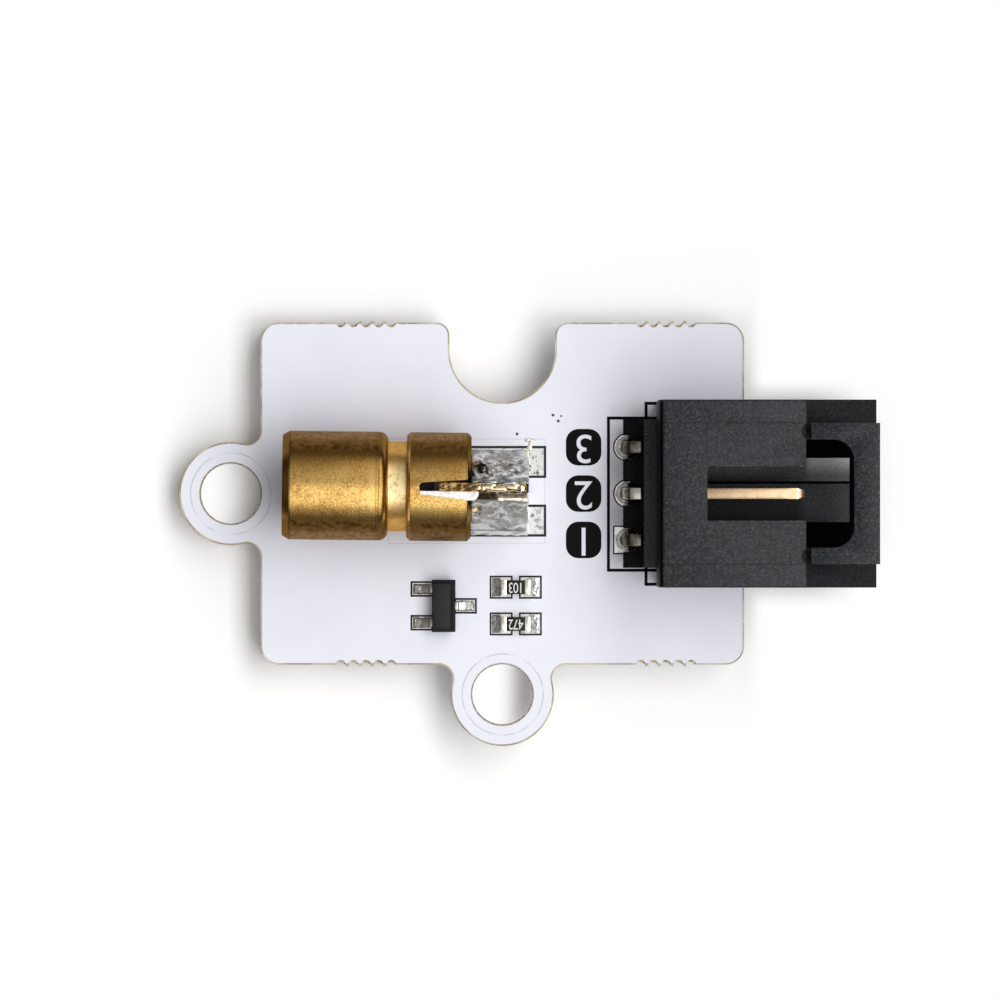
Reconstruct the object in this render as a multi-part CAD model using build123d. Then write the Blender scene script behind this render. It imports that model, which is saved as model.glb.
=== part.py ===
from build123d import *
import os
from math import sqrt

# Laser diode module: a small white circuit board with two screw lugs carries a turned brass laser
# head, the transistor and chip resistors that switch it, and a right-angle latching header.
#
# All sizes are in millimetres. The origin is the centre of the left lug's hole, on the board's
# mounting face. +X runs from the laser's mouth to the header's mouth, and +Z is up.

# Circuit board
board_length = 26.5
board_width = 18.75
board_thickness = 1.6
board_corner_radius = 1.0
lug_radius = 2.83
lug_hole_radius = 1.65
lug_standoff = 1.63            # hole centre to the nearest straight edge of the board
lug_root_radius = 0.75
notch_radius = 2.9
notch_depth = 4.38             # from the top edge to the bottom of the round notch
notch_mouth_radius = 0.7

# Break-off tabs: rows of half holes left where the board was snapped out of its panel
bite_radius = 0.27
bite_sides = 12                # the twenty small holes are twelve-sided, to keep them light
bite_pitch = 0.69
bite_count = 5
bite_row_left = -7.47          # middle of the row, from the middle of the board
bite_row_right = 8.97
stub_proud = 0.08

# Coatings and lands
mask_thickness = 0.03
mask_setback = 0.09            # bare laminate along the milled outline
pad_thickness = 0.05
pad_gap = 0.08                 # bare laminate round every land

# Laser head
barrel_radius = 2.97
barrel_front_length = 5.77
barrel_groove_length = 1.02
barrel_rear_length = 3.52
barrel_groove_radius = 2.45
barrel_shoulder_radius = 0.5
barrel_mouth_chamfer = 0.38
barrel_mouth_drop = 0.22
barrel_lip_chamfer = 0.2
barrel_end_chamfer = 0.2
barrel_bore_radius = 1.7
barrel_standoff = 0.02
laser_mid_x = -6.86            # middle of the barrel, from the middle of the board
laser_mid_y = 0.41
laser_yaw = -0.7               # degrees: the head was soldered slightly askew

# Slot across the barrel's rear end
slot_length = 2.81
slot_end_left = 0.22
slot_end_right = 0.45
slot_mouth_left = 0.41
slot_mouth_right = 0.73
slot_end_radius = 0.22
slot_mouth_radius = 0.35

# Lens and its retaining ring
ring_radius = 2.35
ring_recess = 0.15             # from the barrel's front face
ring_length = 0.75
ring_aperture_radius = 1.5
ring_aperture_flare = 0.4
lens_radius = 2.1
lens_edge = 0.7
lens_crown = 0.75
lens_seat_depth = 1.75
seat_clearance = 0.02

# Driver board on edge in the slot, with the diode on its nose
driver_thickness = 0.46
driver_height = 4.9
driver_slot_gap = 0.8          # from the slot's end to the board
driver_tail = 3.15             # past the barrel's rear face
driver_tongue_height = 2.6
driver_tongue_length = 0.99
driver_corner_radius = 0.25
heatsink_length = 1.1
heatsink_width = 1.5
heatsink_height = 1.6
heatsink_step = 0.55
diode_length = 0.35
diode_width = 0.1
diode_height = 0.3

# Solder that holds the laser head
slot_solder_depth = 0.8
slot_solder_sink = 0.1         # below the crest of the barrel
slot_solder_tail = 0.42
slot_solder_round = 0.38
fillet_height = 2.5
fillet_foot = 0.12
fillet_bulge_out = 0.15
fillet_bulge_up = 0.075
laser_land_start = -3.4        # from the middle of the board
laser_land_end = 2.33
laser_land_width = 1.6
laser_land_upper = 1.735
laser_land_lower = -1.48

# Small transistor
transistor_x = -3.21           # from the middle of the board
transistor_setback = 3.225     # from the board's lower edge
transistor_width = 1.31
transistor_length = 2.88
transistor_height = 1.0
transistor_top_width = 1.0
transistor_top_length = 2.45
transistor_gap = 0.08
lead_width = 0.42
lead_thickness = 0.12
lead_pitch = 1.85
lead_span = 2.4
lead_foot = 0.42
lead_exit = 0.55
lead_root = 0.2
transistor_land_length = 1.09
transistor_land_width = 0.7
transistor_land_span = 3.48

# Chip resistors
chip_length = 1.6
chip_width = 0.82
chip_height = 0.45
chip_cap = 0.3
chip_cap_thickness = 0.03
chip_coat_margin = 0.04
chip_coat_thickness = 0.03
resistor_x = 0.74              # from the middle of the board
resistor_setbacks = (4.245, 2.235)    # of each resistor, from the board's lower edge
resistor_land_length = 1.1
resistor_land_width = 1.11
resistor_land_gap = 0.5
driver_chip_reach = 2.27       # past the barrel's rear face
driver_chip_rise = 1.35        # above the barrel's axis
driver_chip_lift = 0.05
driver_land_gap = 1.0
driver_land_length = 0.43

# Header: pins on a standard pitch in a moulded latching shroud
pin_pitch = 2.54
pin_count = 3
pin_width = 0.64
pin_tail = 1.4                 # below the board's mounting face
pin_height = 3.0               # of the horizontal run's centre, above the board
pin_inner_bend = 0.15
pin_tip_length = 0.37
pin_tip_taper = 16.0
pin_mating_length = 6.22       # past the inside of the shroud's back wall
header_setback = 6.39          # pin row to the board's right edge
header_hole_radius = 0.5
header_plating = 0.03
header_pad_radius = 0.71
ledge_width = 8.12
ledge_overhang = 0.25          # behind the pin row
ledge_height = 2.2
ledge_relief = 0.7
ledge_relief_depth = 0.12
ledge_slot_radius = 0.65
step_from_pins = 0.88
step_depth = 0.71
step_height = 4.0
shroud_width = 10.25
shroud_length = 11.94
shroud_height = 6.6
shroud_back_slope = 0.27       # how far the back wall leans in, above the step
shroud_edge_radius = 0.15
deck_length = 8.09
side_wall = 1.0
back_wall = 1.82
floor_thickness = 0.4
ceiling_height = 5.05
cheek_height = 5.5             # side walls in front of the deck
mouth_chamfer = 0.25

# Latch window, strap and slot in the top of the shroud
strap_width = 7.7
strap_leg = 0.9
strap_gap = 0.28
strap_bar = 1.4
strap_reach = 0.18             # past the shroud's mouth
window_corner_radius = 1.15
latch_slot_width = 2.96
latch_slot_length = 5.37
scoop_radius = 0.46
scoop_depth = 0.27
corner_notch_radius = 0.35

# Raised track on the socket's floor
track_left = 1.95
track_right = 1.56
track_height = 0.7
track_rise = 0.15
track_setback = 1.38
track_groove = 0.6             # centre of the groove, from the middle pin
track_groove_width = 0.13
track_groove_depth = 0.15

# Solder on the header's pins
header_solder_radius = 0.66
header_solder_neck = 0.5
header_solder_top = 0.62
header_solder_bottom = 0.9

# Solder on the small parts
land_solder_margin = 0.05
lead_solder_height = 0.1
lead_solder_inset = 0.12
chip_solder_height = 0.34
chip_solder_foot = 0.02
chip_solder_hollow = 0.43      # share of the way at the middle: 0.5 is a straight slope

# Places worked out from the sizes above
board_mid_x = lug_standoff + board_length / 2
lower_lug_y = -(board_width / 2 + lug_standoff)
core_bottom = mask_thickness
core_top = board_thickness - mask_thickness
land_top = core_top + pad_thickness
barrel_length = barrel_front_length + barrel_groove_length + barrel_rear_length
slot_start = barrel_length - slot_length
driver_start = slot_start + driver_slot_gap
driver_tongue_start = driver_start - driver_tongue_length
lens_start = ring_recess + ring_length
laser_axis_z = board_thickness + barrel_standoff + barrel_radius
pin_row_x = lug_standoff + board_length - header_setback
pin_run_z = board_thickness + pin_height
step_x = pin_row_x + step_from_pins
shroud_x = step_x + step_depth
shroud_mouth_x = shroud_x + shroud_length
deck_end_x = shroud_x + deck_length
socket_back_x = shroud_x + back_wall
window_width = strap_width - 2 * strap_leg
transistor_y = transistor_setback - board_width / 2
resistor_rows = [setback - board_width / 2 for setback in resistor_setbacks]
pin_rows = [pin_pitch * ((pin_count - 1) / 2 - index) for index in range(pin_count)]

# The barrel's own frame: its axis is X, starting at the centre of its front face.
laser_place = (
    Pos(board_mid_x + laser_mid_x, laser_mid_y, laser_axis_z)
    * Rot(0, 0, laser_yaw)
    * Pos(-barrel_length / 2, 0, 0)
)


def block(x_from, x_to, y_from, y_to, z_from, z_to):
    """Box between two corners."""
    size = Box(x_to - x_from, y_to - y_from, z_to - z_from)
    return Pos((x_from + x_to) / 2, (y_from + y_to) / 2, (z_from + z_to) / 2) * size


def column(radius, z_from, z_to):
    """Upright cylinder on the Z axis."""
    return Pos(0, 0, (z_from + z_to) / 2) * Cylinder(radius, z_to - z_from)


def corners_at(sketch, points):
    """The sketch's vertices that lie nearest the given points."""
    return [min(sketch.vertices(), key=lambda v: (v.X - x) ** 2 + (v.Y - y) ** 2) for x, y in points]


def round_corners(sketch, points, radius):
    return fillet(corners_at(sketch, points), radius)


def turned(points, rounds=()):
    """Solid of revolution about X from a profile of (x, radius) points; rounds are (x, radius, size)."""
    profile = make_face(Polyline(*points, close=True))
    for x, radius, size in rounds:
        profile = round_corners(profile, [(x, radius)], size)
    return revolve(profile, axis=Axis.X)


# Circuit board

def board_outline(setback):
    """The board's shape in plan without its holes, drawn inside the true edge by the setback."""
    half_length = board_length / 2 - setback
    half_width = board_width / 2 - setback
    lug = lug_radius - setback
    edge_to_hole = lug_standoff + setback
    root = sqrt(lug**2 - edge_to_hole**2)
    notch = notch_radius + setback
    notch_centre_y = board_width / 2 - notch_depth + notch_radius

    plate = Pos(board_mid_x, 0) * RectangleRounded(
        2 * half_length, 2 * half_width, board_corner_radius - setback
    )
    plate += Circle(lug)
    plate += Pos(board_mid_x, lower_lug_y) * Circle(lug)
    plate -= Pos(board_mid_x, notch_centre_y) * Circle(notch)
    neck = board_width / 2 - notch_centre_y
    plate -= Pos(board_mid_x, notch_centre_y + neck / 2) * Rectangle(2 * notch, neck)

    left_roots = [(edge_to_hole, root), (edge_to_hole, -root)]
    lower_edge_y = -half_width
    lower_roots = [(board_mid_x - root, lower_edge_y), (board_mid_x + root, lower_edge_y)]
    plate = round_corners(plate, left_roots + lower_roots, lug_root_radius + setback)
    mouth = [(board_mid_x - notch, half_width), (board_mid_x + notch, half_width)]
    return round_corners(plate, mouth, notch_mouth_radius - setback)


def lug_holes():
    hole = Circle(lug_hole_radius)
    return hole + Pos(board_mid_x, lower_lug_y) * hole


def bite_rows():
    """Middle of each row of half holes, on the board's long edges."""
    for offset in (bite_row_left, bite_row_right):
        for side in (1, -1):
            yield board_mid_x + offset, side * board_width / 2


def bite_holes():
    holes = Sketch()
    for row_x, row_y in bite_rows():
        for index in range(bite_count):
            x = row_x + (index - (bite_count - 1) / 2) * bite_pitch
            holes += Pos(x, row_y) * RegularPolygon(bite_radius, bite_sides)
    return holes


def bite_bars():
    """A straight bar over each row, where the underside's mask stops short of the half holes."""
    length = (bite_count - 1) * bite_pitch + 2 * (bite_radius + mask_setback)
    depth = bite_radius + mask_setback
    bars = Sketch()
    for row_x, row_y in bite_rows():
        bars += Pos(row_x, row_y) * Rectangle(length, 2 * depth)
    return bars


def break_off_stubs():
    stubs = Sketch()
    row_length = (bite_count - 1) * bite_pitch
    for row_x, row_y in bite_rows():
        stubs += Pos(row_x, row_y) * Rectangle(row_length, 2 * stub_proud)
    return stubs


def board_core():
    plan = board_outline(0) + break_off_stubs()
    plan -= bite_holes()
    plan -= lug_holes()
    for y in pin_rows:
        plan -= Pos(pin_row_x, y) * Circle(header_hole_radius)
    return Pos(0, 0, core_bottom) * extrude(plan, core_top - core_bottom)


def laser_lands():
    """Each land is (x, y, length, width), with x and y at its centre."""
    length = laser_land_end - laser_land_start
    x = board_mid_x + (laser_land_start + laser_land_end) / 2
    return [(x, y, length, laser_land_width) for y in (laser_land_upper, laser_land_lower)]


def transistor_lands():
    reach = (transistor_land_span - transistor_land_length) / 2
    x = board_mid_x + transistor_x
    left = [(x - reach, transistor_y + side * lead_pitch / 2) for side in (1, -1)]
    places = left + [(x + reach, transistor_y)]
    return [(x, y, transistor_land_length, transistor_land_width) for x, y in places]


def resistor_lands():
    reach = (resistor_land_gap + resistor_land_length) / 2
    x = board_mid_x + resistor_x
    places = [(x + side * reach, y) for y in resistor_rows for side in (-1, 1)]
    return [(x, y, resistor_land_length, resistor_land_width) for x, y in places]


def header_pad_shape(index, margin):
    """Round pads, with a square one for the last pin."""
    radius = header_pad_radius + margin
    if index == pin_count - 1:
        return Rectangle(2 * radius, 2 * radius)
    return Circle(radius)


def top_mask():
    plan = board_outline(mask_setback) - lug_holes() - bite_holes()
    for x, y, length, width in laser_lands() + transistor_lands() + resistor_lands():
        plan -= Pos(x, y) * Rectangle(length + 2 * pad_gap, width + 2 * pad_gap)
    for index, y in enumerate(pin_rows):
        plan -= Pos(pin_row_x, y) * header_pad_shape(index, pad_gap)
    return Pos(0, 0, core_top) * extrude(plan, mask_thickness)


def bottom_mask():
    plan = board_outline(mask_setback) - lug_holes() - bite_bars()
    for index, y in enumerate(pin_rows):
        plan -= Pos(pin_row_x, y) * header_pad_shape(index, pad_gap)
    return extrude(plan, mask_thickness)


def lands(places):
    solids = [
        Pos(x, y, core_top + pad_thickness / 2) * Box(length, width, pad_thickness)
        for x, y, length, width in places
    ]
    return Compound(children=solids)


def header_pads():
    """Plated holes: a land on each face, joined by the plating of the hole's wall."""
    plated = []
    for index, y in enumerate(pin_rows):
        land = header_pad_shape(index, 0)
        pad = Pos(0, 0, core_top) * extrude(land, pad_thickness)
        pad += Pos(0, 0, core_bottom - pad_thickness) * extrude(land, pad_thickness)
        pad += column(header_hole_radius, core_bottom, core_top)
        pad -= column(header_hole_radius - header_plating, core_bottom - pad_thickness, land_top)
        plated.append(Pos(pin_row_x, y, 0) * pad)
    return Compound(children=plated)


# Laser head, in the barrel's own frame

def slot_plan():
    """Slot seen from above: it widens to the rear, with a round end and a round-cornered mouth."""
    sides = [
        (slot_start, slot_end_left),
        (barrel_length, slot_mouth_left),
        (barrel_length, -slot_mouth_right),
        (slot_start, -slot_end_right),
    ]
    plan = make_face(Polyline(*sides, close=True))
    plan += Pos(barrel_length + slot_length / 2, 0) * Rectangle(slot_length, 2 * barrel_radius)
    plan = round_corners(plan, [sides[0], sides[3]], slot_end_radius)
    return round_corners(plan, [sides[1], sides[2]], slot_mouth_radius)


def laser_barrel():
    groove_start = barrel_front_length
    groove_end = groove_start + barrel_groove_length
    outside = turned(
        [
            (0, 0),
            (0, barrel_radius - barrel_mouth_drop),
            (barrel_mouth_chamfer, barrel_radius),
            (groove_start, barrel_radius),
            (groove_start, barrel_groove_radius),
            (groove_end, barrel_groove_radius),
            (groove_end, barrel_radius - barrel_lip_chamfer),
            (groove_end + barrel_lip_chamfer, barrel_radius),
            (barrel_length - barrel_end_chamfer, barrel_radius),
            (barrel_length, barrel_radius - barrel_end_chamfer),
            (barrel_length, 0),
        ],
        rounds=[(groove_start, barrel_radius, barrel_shoulder_radius)],
    )
    ring_seat = ring_radius + seat_clearance
    lens_seat = lens_radius + seat_clearance
    lens_seat_end = lens_start + lens_seat_depth
    hollow = turned(
        [
            (0, 0),
            (0, ring_seat),
            (lens_start, ring_seat),
            (lens_start, lens_seat),
            (lens_seat_end, lens_seat),
            (lens_seat_end, barrel_bore_radius),
            (barrel_length, barrel_bore_radius),
            (barrel_length, 0),
        ]
    )
    slot = extrude(slot_plan(), barrel_radius, both=True)
    return outside - hollow - slot


def lens_ring():
    """Pressed ring that holds the lens, with a flared opening for the beam."""
    flare = ring_aperture_radius + ring_aperture_flare
    return turned(
        [
            (ring_recess, flare),
            (ring_recess, ring_radius),
            (lens_start, ring_radius),
            (lens_start, ring_aperture_radius),
            (ring_recess + ring_aperture_flare, ring_aperture_radius),
        ]
    )


def lens():
    """Plano-convex lens, flat side against the ring."""
    rim = lens_start + lens_edge
    flat = Line((lens_start, 0), (lens_start, lens_radius))
    edge = Line((lens_start, lens_radius), (rim, lens_radius))
    crown_radius = (lens_radius**2 + lens_crown**2) / (2 * lens_crown)
    crown_mid = lens_radius / 2
    crown_x = rim + lens_crown - crown_radius + sqrt(crown_radius**2 - crown_mid**2)
    crown = ThreePointArc((rim, lens_radius), (crown_x, crown_mid), (rim + lens_crown, 0))
    axis_line = Line((rim + lens_crown, 0), (lens_start, 0))
    profile = make_face([flat, edge, crown, axis_line])
    return revolve(profile, axis=Axis.X)


def driver_board():
    """Thin board on edge: a narrow tongue in the bore and a taller tail out through the slot."""
    tail_end = barrel_length + driver_tail
    half_tall = driver_height / 2
    half_tongue = driver_tongue_height / 2
    outline = Polyline(
        (driver_tongue_start, -half_tongue),
        (driver_start, -half_tongue),
        (driver_start, -half_tall),
        (tail_end, -half_tall),
        (tail_end, half_tall),
        (driver_start, half_tall),
        (driver_start, half_tongue),
        (driver_tongue_start, half_tongue),
        close=True,
    )
    face = make_face(outline)
    face = round_corners(face, [(tail_end, half_tall), (tail_end, -half_tall)], driver_corner_radius)
    plate = extrude(face, driver_thickness / 2, both=True)
    return Rot(90, 0, 0) * plate


def diode_heatsink():
    """Copper block on the driver board's nose, stepped so that the diode sits on the axis."""
    back = driver_tongue_start
    front = back - heatsink_length
    half_width = heatsink_width / 2
    half_height = heatsink_height / 2
    body = block(front, back, -half_width, half_width, -half_height, half_height)
    shelf_top = -diode_width / 2
    body -= block(front, front + heatsink_step, shelf_top, half_width, -half_height, half_height)
    return body


def laser_diode():
    front = driver_tongue_start - heatsink_length
    half_width = diode_width / 2
    half_height = diode_height / 2
    return block(front, front + diode_length, -half_width, half_width, -half_height, half_height)


def slot_solder():
    """Bead along one side of the slot, between its wall and the driver board."""
    top = barrel_radius - slot_solder_sink
    face_y = -driver_thickness / 2
    end = barrel_length + slot_solder_tail
    reach = -slot_mouth_right
    inside = extrude(slot_plan(), barrel_radius, both=True)
    bead = inside & block(slot_start, end, reach, face_y, top - slot_solder_depth, top)
    rear_edges = bead.edges().filter_by(Axis.Z).sort_by(Axis.X)[-2:]
    return fillet(rear_edges.sort_by(Axis.Y)[:1], slot_solder_round)


def solder_bank(side):
    """Fillet of solder from the driver board's face down to the land on one side of it."""
    face_y = side * driver_thickness / 2
    land_y = laser_land_upper if side > 0 else laser_land_lower
    outer_y = land_y + side * (laser_land_width / 2 - land_solder_margin) - laser_mid_y
    low = land_top - laser_axis_z
    high = low + fillet_height
    foot = low + fillet_foot
    middle_y = (face_y + outer_y) / 2 + side * fillet_bulge_out
    middle_z = (high + foot) / 2 + fillet_bulge_up
    profile = make_face(
        [
            Line((face_y, low), (face_y, high)),
            ThreePointArc((face_y, high), (middle_y, middle_z), (outer_y, foot)),
            Line((outer_y, foot), (outer_y, low)),
            Line((outer_y, low), (face_y, low)),
        ]
    )
    start = Plane(origin=(barrel_length, 0, 0), x_dir=(0, 1, 0), z_dir=(1, 0, 0))
    return extrude(start * profile, driver_tail)


# Chip resistors, lying on the plane z = 0 with their length along X

def chip_ceramic():
    core = chip_cap_thickness
    return block(
        -chip_length / 2 + core,
        chip_length / 2 - core,
        -chip_width / 2 + core,
        chip_width / 2 - core,
        core,
        chip_height - core,
    )


def chip_caps():
    caps = []
    for side in (-1, 1):
        middle = side * (chip_length - chip_cap) / 2
        cap = Pos(middle, 0, chip_height / 2) * Box(chip_cap, chip_width, chip_height)
        caps.append(cap - chip_ceramic())
    return Compound(children=caps)


def chip_coat():
    half_length = chip_length / 2 - chip_cap
    half_width = chip_width / 2 - chip_cap_thickness - chip_coat_margin
    base = chip_height - chip_cap_thickness
    return block(-half_length, half_length, -half_width, half_width, base, base + chip_coat_thickness)


def chip_solder(land_gap, land_length, land_width, lift):
    """A hollow-faced wedge of solder from each end of the chip to the outer edge of its land."""
    end_x = chip_length / 2
    foot_x = land_gap / 2 + land_length - land_solder_margin
    half_width = land_width / 2 - land_solder_margin
    top = lift + chip_solder_height
    middle_x = end_x + (foot_x - end_x) * chip_solder_hollow
    middle_z = chip_solder_foot + (top - chip_solder_foot) * chip_solder_hollow
    wedge_face = make_face(
        [
            Line((end_x, 0), (end_x, top)),
            ThreePointArc((end_x, top), (middle_x, middle_z), (foot_x, chip_solder_foot)),
            Line((foot_x, chip_solder_foot), (foot_x, 0)),
            Line((foot_x, 0), (end_x, 0)),
        ]
    )
    wedge = Rot(90, 0, 0) * extrude(wedge_face, half_width, both=True)
    wedges = [wedge, Rot(0, 0, 180) * wedge]
    return Compound(children=wedges)


# Transistor, with its middle at the origin and its leads' feet on the plane z = 0

def transistor_leads():
    """Gull-wing leads: two on the left and one on the right."""
    exit_top = lead_exit + lead_thickness
    tip = lead_span / 2
    knee = tip - lead_foot
    root = transistor_width / 2 - lead_root
    outline = Polyline(
        (root, lead_exit),
        (knee - lead_thickness / 2, lead_exit),
        (knee - lead_thickness / 2, 0),
        (tip, 0),
        (tip, lead_thickness),
        (knee + lead_thickness / 2, lead_thickness),
        (knee + lead_thickness / 2, exit_top),
        (root, exit_top),
        close=True,
    )
    face = make_face(outline)
    outer_bends = [(knee - lead_thickness / 2, 0), (knee + lead_thickness / 2, exit_top)]
    face = round_corners(face, outer_bends, lead_thickness)
    right = Rot(90, 0, 0) * extrude(face, lead_width / 2, both=True)
    left = Rot(0, 0, 180) * right
    half_pitch = lead_pitch / 2
    return [Pos(0, half_pitch, 0) * left, Pos(0, -half_pitch, 0) * left, right]


def transistor_body():
    """Moulded body, drafted up and down from the plane where the leads leave it."""
    waist_z = lead_exit + lead_thickness / 2
    waist = Pos(0, 0, waist_z) * Rectangle(transistor_width, transistor_length)
    top_z = transistor_gap + transistor_height
    top = Pos(0, 0, top_z) * Rectangle(transistor_top_width, transistor_top_length)
    bottom = Pos(0, 0, transistor_gap) * Rectangle(transistor_top_width, transistor_top_length)
    body = loft([bottom, waist]) + loft([waist, top])
    for lead in transistor_leads():
        body -= lead
    return body


def transistor_solder():
    """A low mound of solder on each land, round the foot of its lead."""
    mounds = []
    half_length = transistor_land_length / 2 - land_solder_margin
    half_width = transistor_land_width / 2 - land_solder_margin
    reach = (transistor_land_span - transistor_land_length) / 2
    places = [(-reach, lead_pitch / 2), (-reach, -lead_pitch / 2), (reach, 0)]
    for (x, y), lead in zip(places, transistor_leads()):
        base = Rectangle(2 * half_length, 2 * half_width)
        crown = Pos(0, 0, lead_solder_height) * Rectangle(
            2 * (half_length - lead_solder_inset), 2 * (half_width - lead_solder_inset)
        )
        mounds.append(Pos(x, y, 0) * loft([base, crown]) - lead)
    return Compound(children=mounds)


# Header

def header_pin(y):
    """Square pin: a tail through the board, one bend, and a run out into the socket."""
    half = pin_width / 2
    tail_z = -pin_tail + pin_tip_length
    run_end = socket_back_x + pin_mating_length - pin_tip_length
    outline = Polyline(
        (pin_row_x - half, tail_z),
        (pin_row_x - half, pin_run_z + half),
        (run_end, pin_run_z + half),
        (run_end, pin_run_z - half),
        (pin_row_x + half, pin_run_z - half),
        (pin_row_x + half, tail_z),
        close=True,
    )
    face = make_face(outline)
    face = round_corners(face, [(pin_row_x + half, pin_run_z - half)], pin_inner_bend)
    face = round_corners(face, [(pin_row_x - half, pin_run_z + half)], pin_inner_bend + pin_width)
    bar = Rot(90, 0, 0) * extrude(face, half, both=True)
    tip = extrude(Rectangle(pin_width, pin_width), pin_tip_length, taper=pin_tip_taper)
    bar += Pos(run_end, 0, pin_run_z) * Rot(0, 90, 0) * tip
    bar += Pos(pin_row_x, 0, tail_z) * Rot(180, 0, 0) * tip
    return Pos(0, y, 0) * bar


def shroud_block():
    """The shroud's outer form: its back wall leans forward above the step, its mouth is sharp."""
    half_width = shroud_width / 2
    step_top = board_thickness + step_height
    top = board_thickness + shroud_height
    side = make_face(
        Polyline(
            (shroud_x, board_thickness),
            (shroud_x, step_top),
            (shroud_x + shroud_back_slope, top),
            (shroud_mouth_x, top),
            (shroud_mouth_x, board_thickness),
            close=True,
        )
    )
    body = Rot(90, 0, 0) * extrude(side, half_width, both=True)
    side_edges = body.edges().filter_by(lambda edge: abs(edge.center().Y) > half_width / 2)
    rear_corners = side_edges.sort_by(Axis.X)[:4]
    top_edges = body.faces().sort_by(Axis.Z)[-1].edges().sort_by(Axis.X)[:3]
    return fillet(rear_corners + top_edges, shroud_edge_radius)


def rear_steps():
    """Step block behind the shroud and the shelf behind that, slotted round each pin."""
    half_width = ledge_width / 2
    top = board_thickness + step_height
    step = block(step_x, shroud_x + side_wall, -half_width, half_width, board_thickness, top)
    ledge_start = pin_row_x - ledge_overhang
    ledge_bottom = board_thickness + ledge_relief
    ledge_top = board_thickness + ledge_height
    ledge = block(ledge_start, step_x, -half_width, half_width, ledge_bottom, ledge_top)
    for y in pin_rows:
        well = column(ledge_slot_radius, ledge_bottom, ledge_top)
        open_side = block(
            -ledge_slot_radius, 0, -ledge_slot_radius, ledge_slot_radius, ledge_bottom, ledge_top
        )
        ledge -= Pos(pin_row_x, y, 0) * (well + open_side)
    relief_end = step_x + ledge_relief_depth
    relief = block(ledge_start, relief_end, -half_width, half_width, board_thickness, ledge_bottom)
    return step + ledge - relief


def socket_hollow():
    """Space for the plug, with a chamfered mouth."""
    half_width = shroud_width / 2 - side_wall
    bottom = board_thickness + floor_thickness
    top = board_thickness + ceiling_height
    hollow = block(socket_back_x, shroud_mouth_x, -half_width, half_width, bottom, top)
    mouth = Plane(
        origin=(shroud_mouth_x, 0, (bottom + top) / 2), x_dir=(0, 1, 0), z_dir=(-1, 0, 0)
    )
    lead_in = Rectangle(2 * (half_width + mouth_chamfer), top - bottom + 2 * mouth_chamfer)
    return hollow + extrude(mouth * lead_in, mouth_chamfer, taper=45)


def socket_track():
    """Raised track on the socket's floor, with one narrow groove and a rising side."""
    bottom = board_thickness + floor_thickness
    low = board_thickness + track_height
    high = low + track_rise
    groove_near = track_groove - track_groove_width / 2
    groove_far = track_groove + track_groove_width / 2
    section = make_face(
        Polyline(
            (-track_right, bottom),
            (-track_right, low),
            (groove_near, low),
            (groove_near, low - track_groove_depth),
            (groove_far, low - track_groove_depth),
            (groove_far, low),
            (track_left, high),
            (track_left, bottom),
            close=True,
        )
    )
    back = Plane(origin=(socket_back_x, 0, 0), x_dir=(0, 1, 0), z_dir=(1, 0, 0))
    return extrude(back * section, shroud_mouth_x - track_setback - socket_back_x)


def latch_openings():
    """Everything cut from the top: the cheeks' rebates, the strap's gap, the window and the slot."""
    cheek_z = board_thickness + cheek_height
    top = board_thickness + shroud_height
    ceiling = board_thickness + ceiling_height
    half_strap = strap_width / 2
    half_width = shroud_width / 2
    bar_x = shroud_mouth_x + strap_reach - strap_bar
    cuts = block(deck_end_x, shroud_mouth_x, half_strap, half_width, cheek_z, top)
    cuts += block(deck_end_x, shroud_mouth_x, -half_width, -half_strap, cheek_z, top)
    cuts += block(deck_end_x, deck_end_x + strap_gap, -half_strap, half_strap, cheek_z, top)

    window = Pos((deck_end_x + bar_x) / 2, 0) * Rectangle(bar_x - deck_end_x, window_width)
    far_corners = [(bar_x, window_width / 2), (bar_x, -window_width / 2)]
    window = round_corners(window, far_corners, window_corner_radius)
    cuts += Pos(0, 0, ceiling) * extrude(window, top - ceiling)
    latch_slot_x = deck_end_x - latch_slot_length
    half_slot = latch_slot_width / 2
    cuts += block(latch_slot_x, deck_end_x, -half_slot, half_slot, ceiling, top)

    leg_y = half_strap - strap_leg / 2
    scoop_x = deck_end_x + scoop_radius - scoop_depth
    leg_start = deck_end_x + strap_gap
    behind_legs = block(deck_end_x - scoop_depth, leg_start, -half_strap, half_strap, cheek_z, top)
    for side in (-1, 1):
        scoop = Pos(scoop_x, side * leg_y, 0) * column(scoop_radius, cheek_z, top)
        cuts += scoop & behind_legs
    corner_notch = column(corner_notch_radius, cheek_z, top)
    cuts += Pos(deck_end_x, half_slot + corner_notch_radius, 0) * corner_notch
    return cuts


def strap_lip():
    """The strap's front edge stands out past the mouth."""
    half_strap = strap_width / 2
    cheek_z = board_thickness + cheek_height
    top = board_thickness + shroud_height
    return block(shroud_mouth_x, shroud_mouth_x + strap_reach, -half_strap, half_strap, cheek_z, top)


def header_housing(pins):
    """The whole moulding: shroud, latch strap, rear steps and the socket's track."""
    housing = shroud_block() + rear_steps()
    housing -= socket_hollow()
    housing += socket_track() + strap_lip()
    housing -= latch_openings()
    for pin in pins:
        housing -= pin
    return housing


def header_solder(pins):
    """Solder that fills each plated hole and climbs the pin on both faces of the board."""
    low = core_bottom - pad_thickness
    tip = low - header_solder_bottom
    peak = land_top + header_solder_top
    bore = header_hole_radius - header_plating
    profile = make_face(
        Polyline(
            (0, tip),
            (header_solder_neck, tip),
            (header_solder_radius, low),
            (bore, low),
            (bore, land_top),
            (header_solder_radius, land_top),
            (header_solder_neck, peak),
            (0, peak),
            close=True,
        )
    )
    joint = revolve(Rot(90, 0, 0) * profile, axis=Axis.Z)
    joints = [Pos(pin_row_x, y, 0) * joint - pin for y, pin in zip(pin_rows, pins)]
    return Compound(children=joints)


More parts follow.
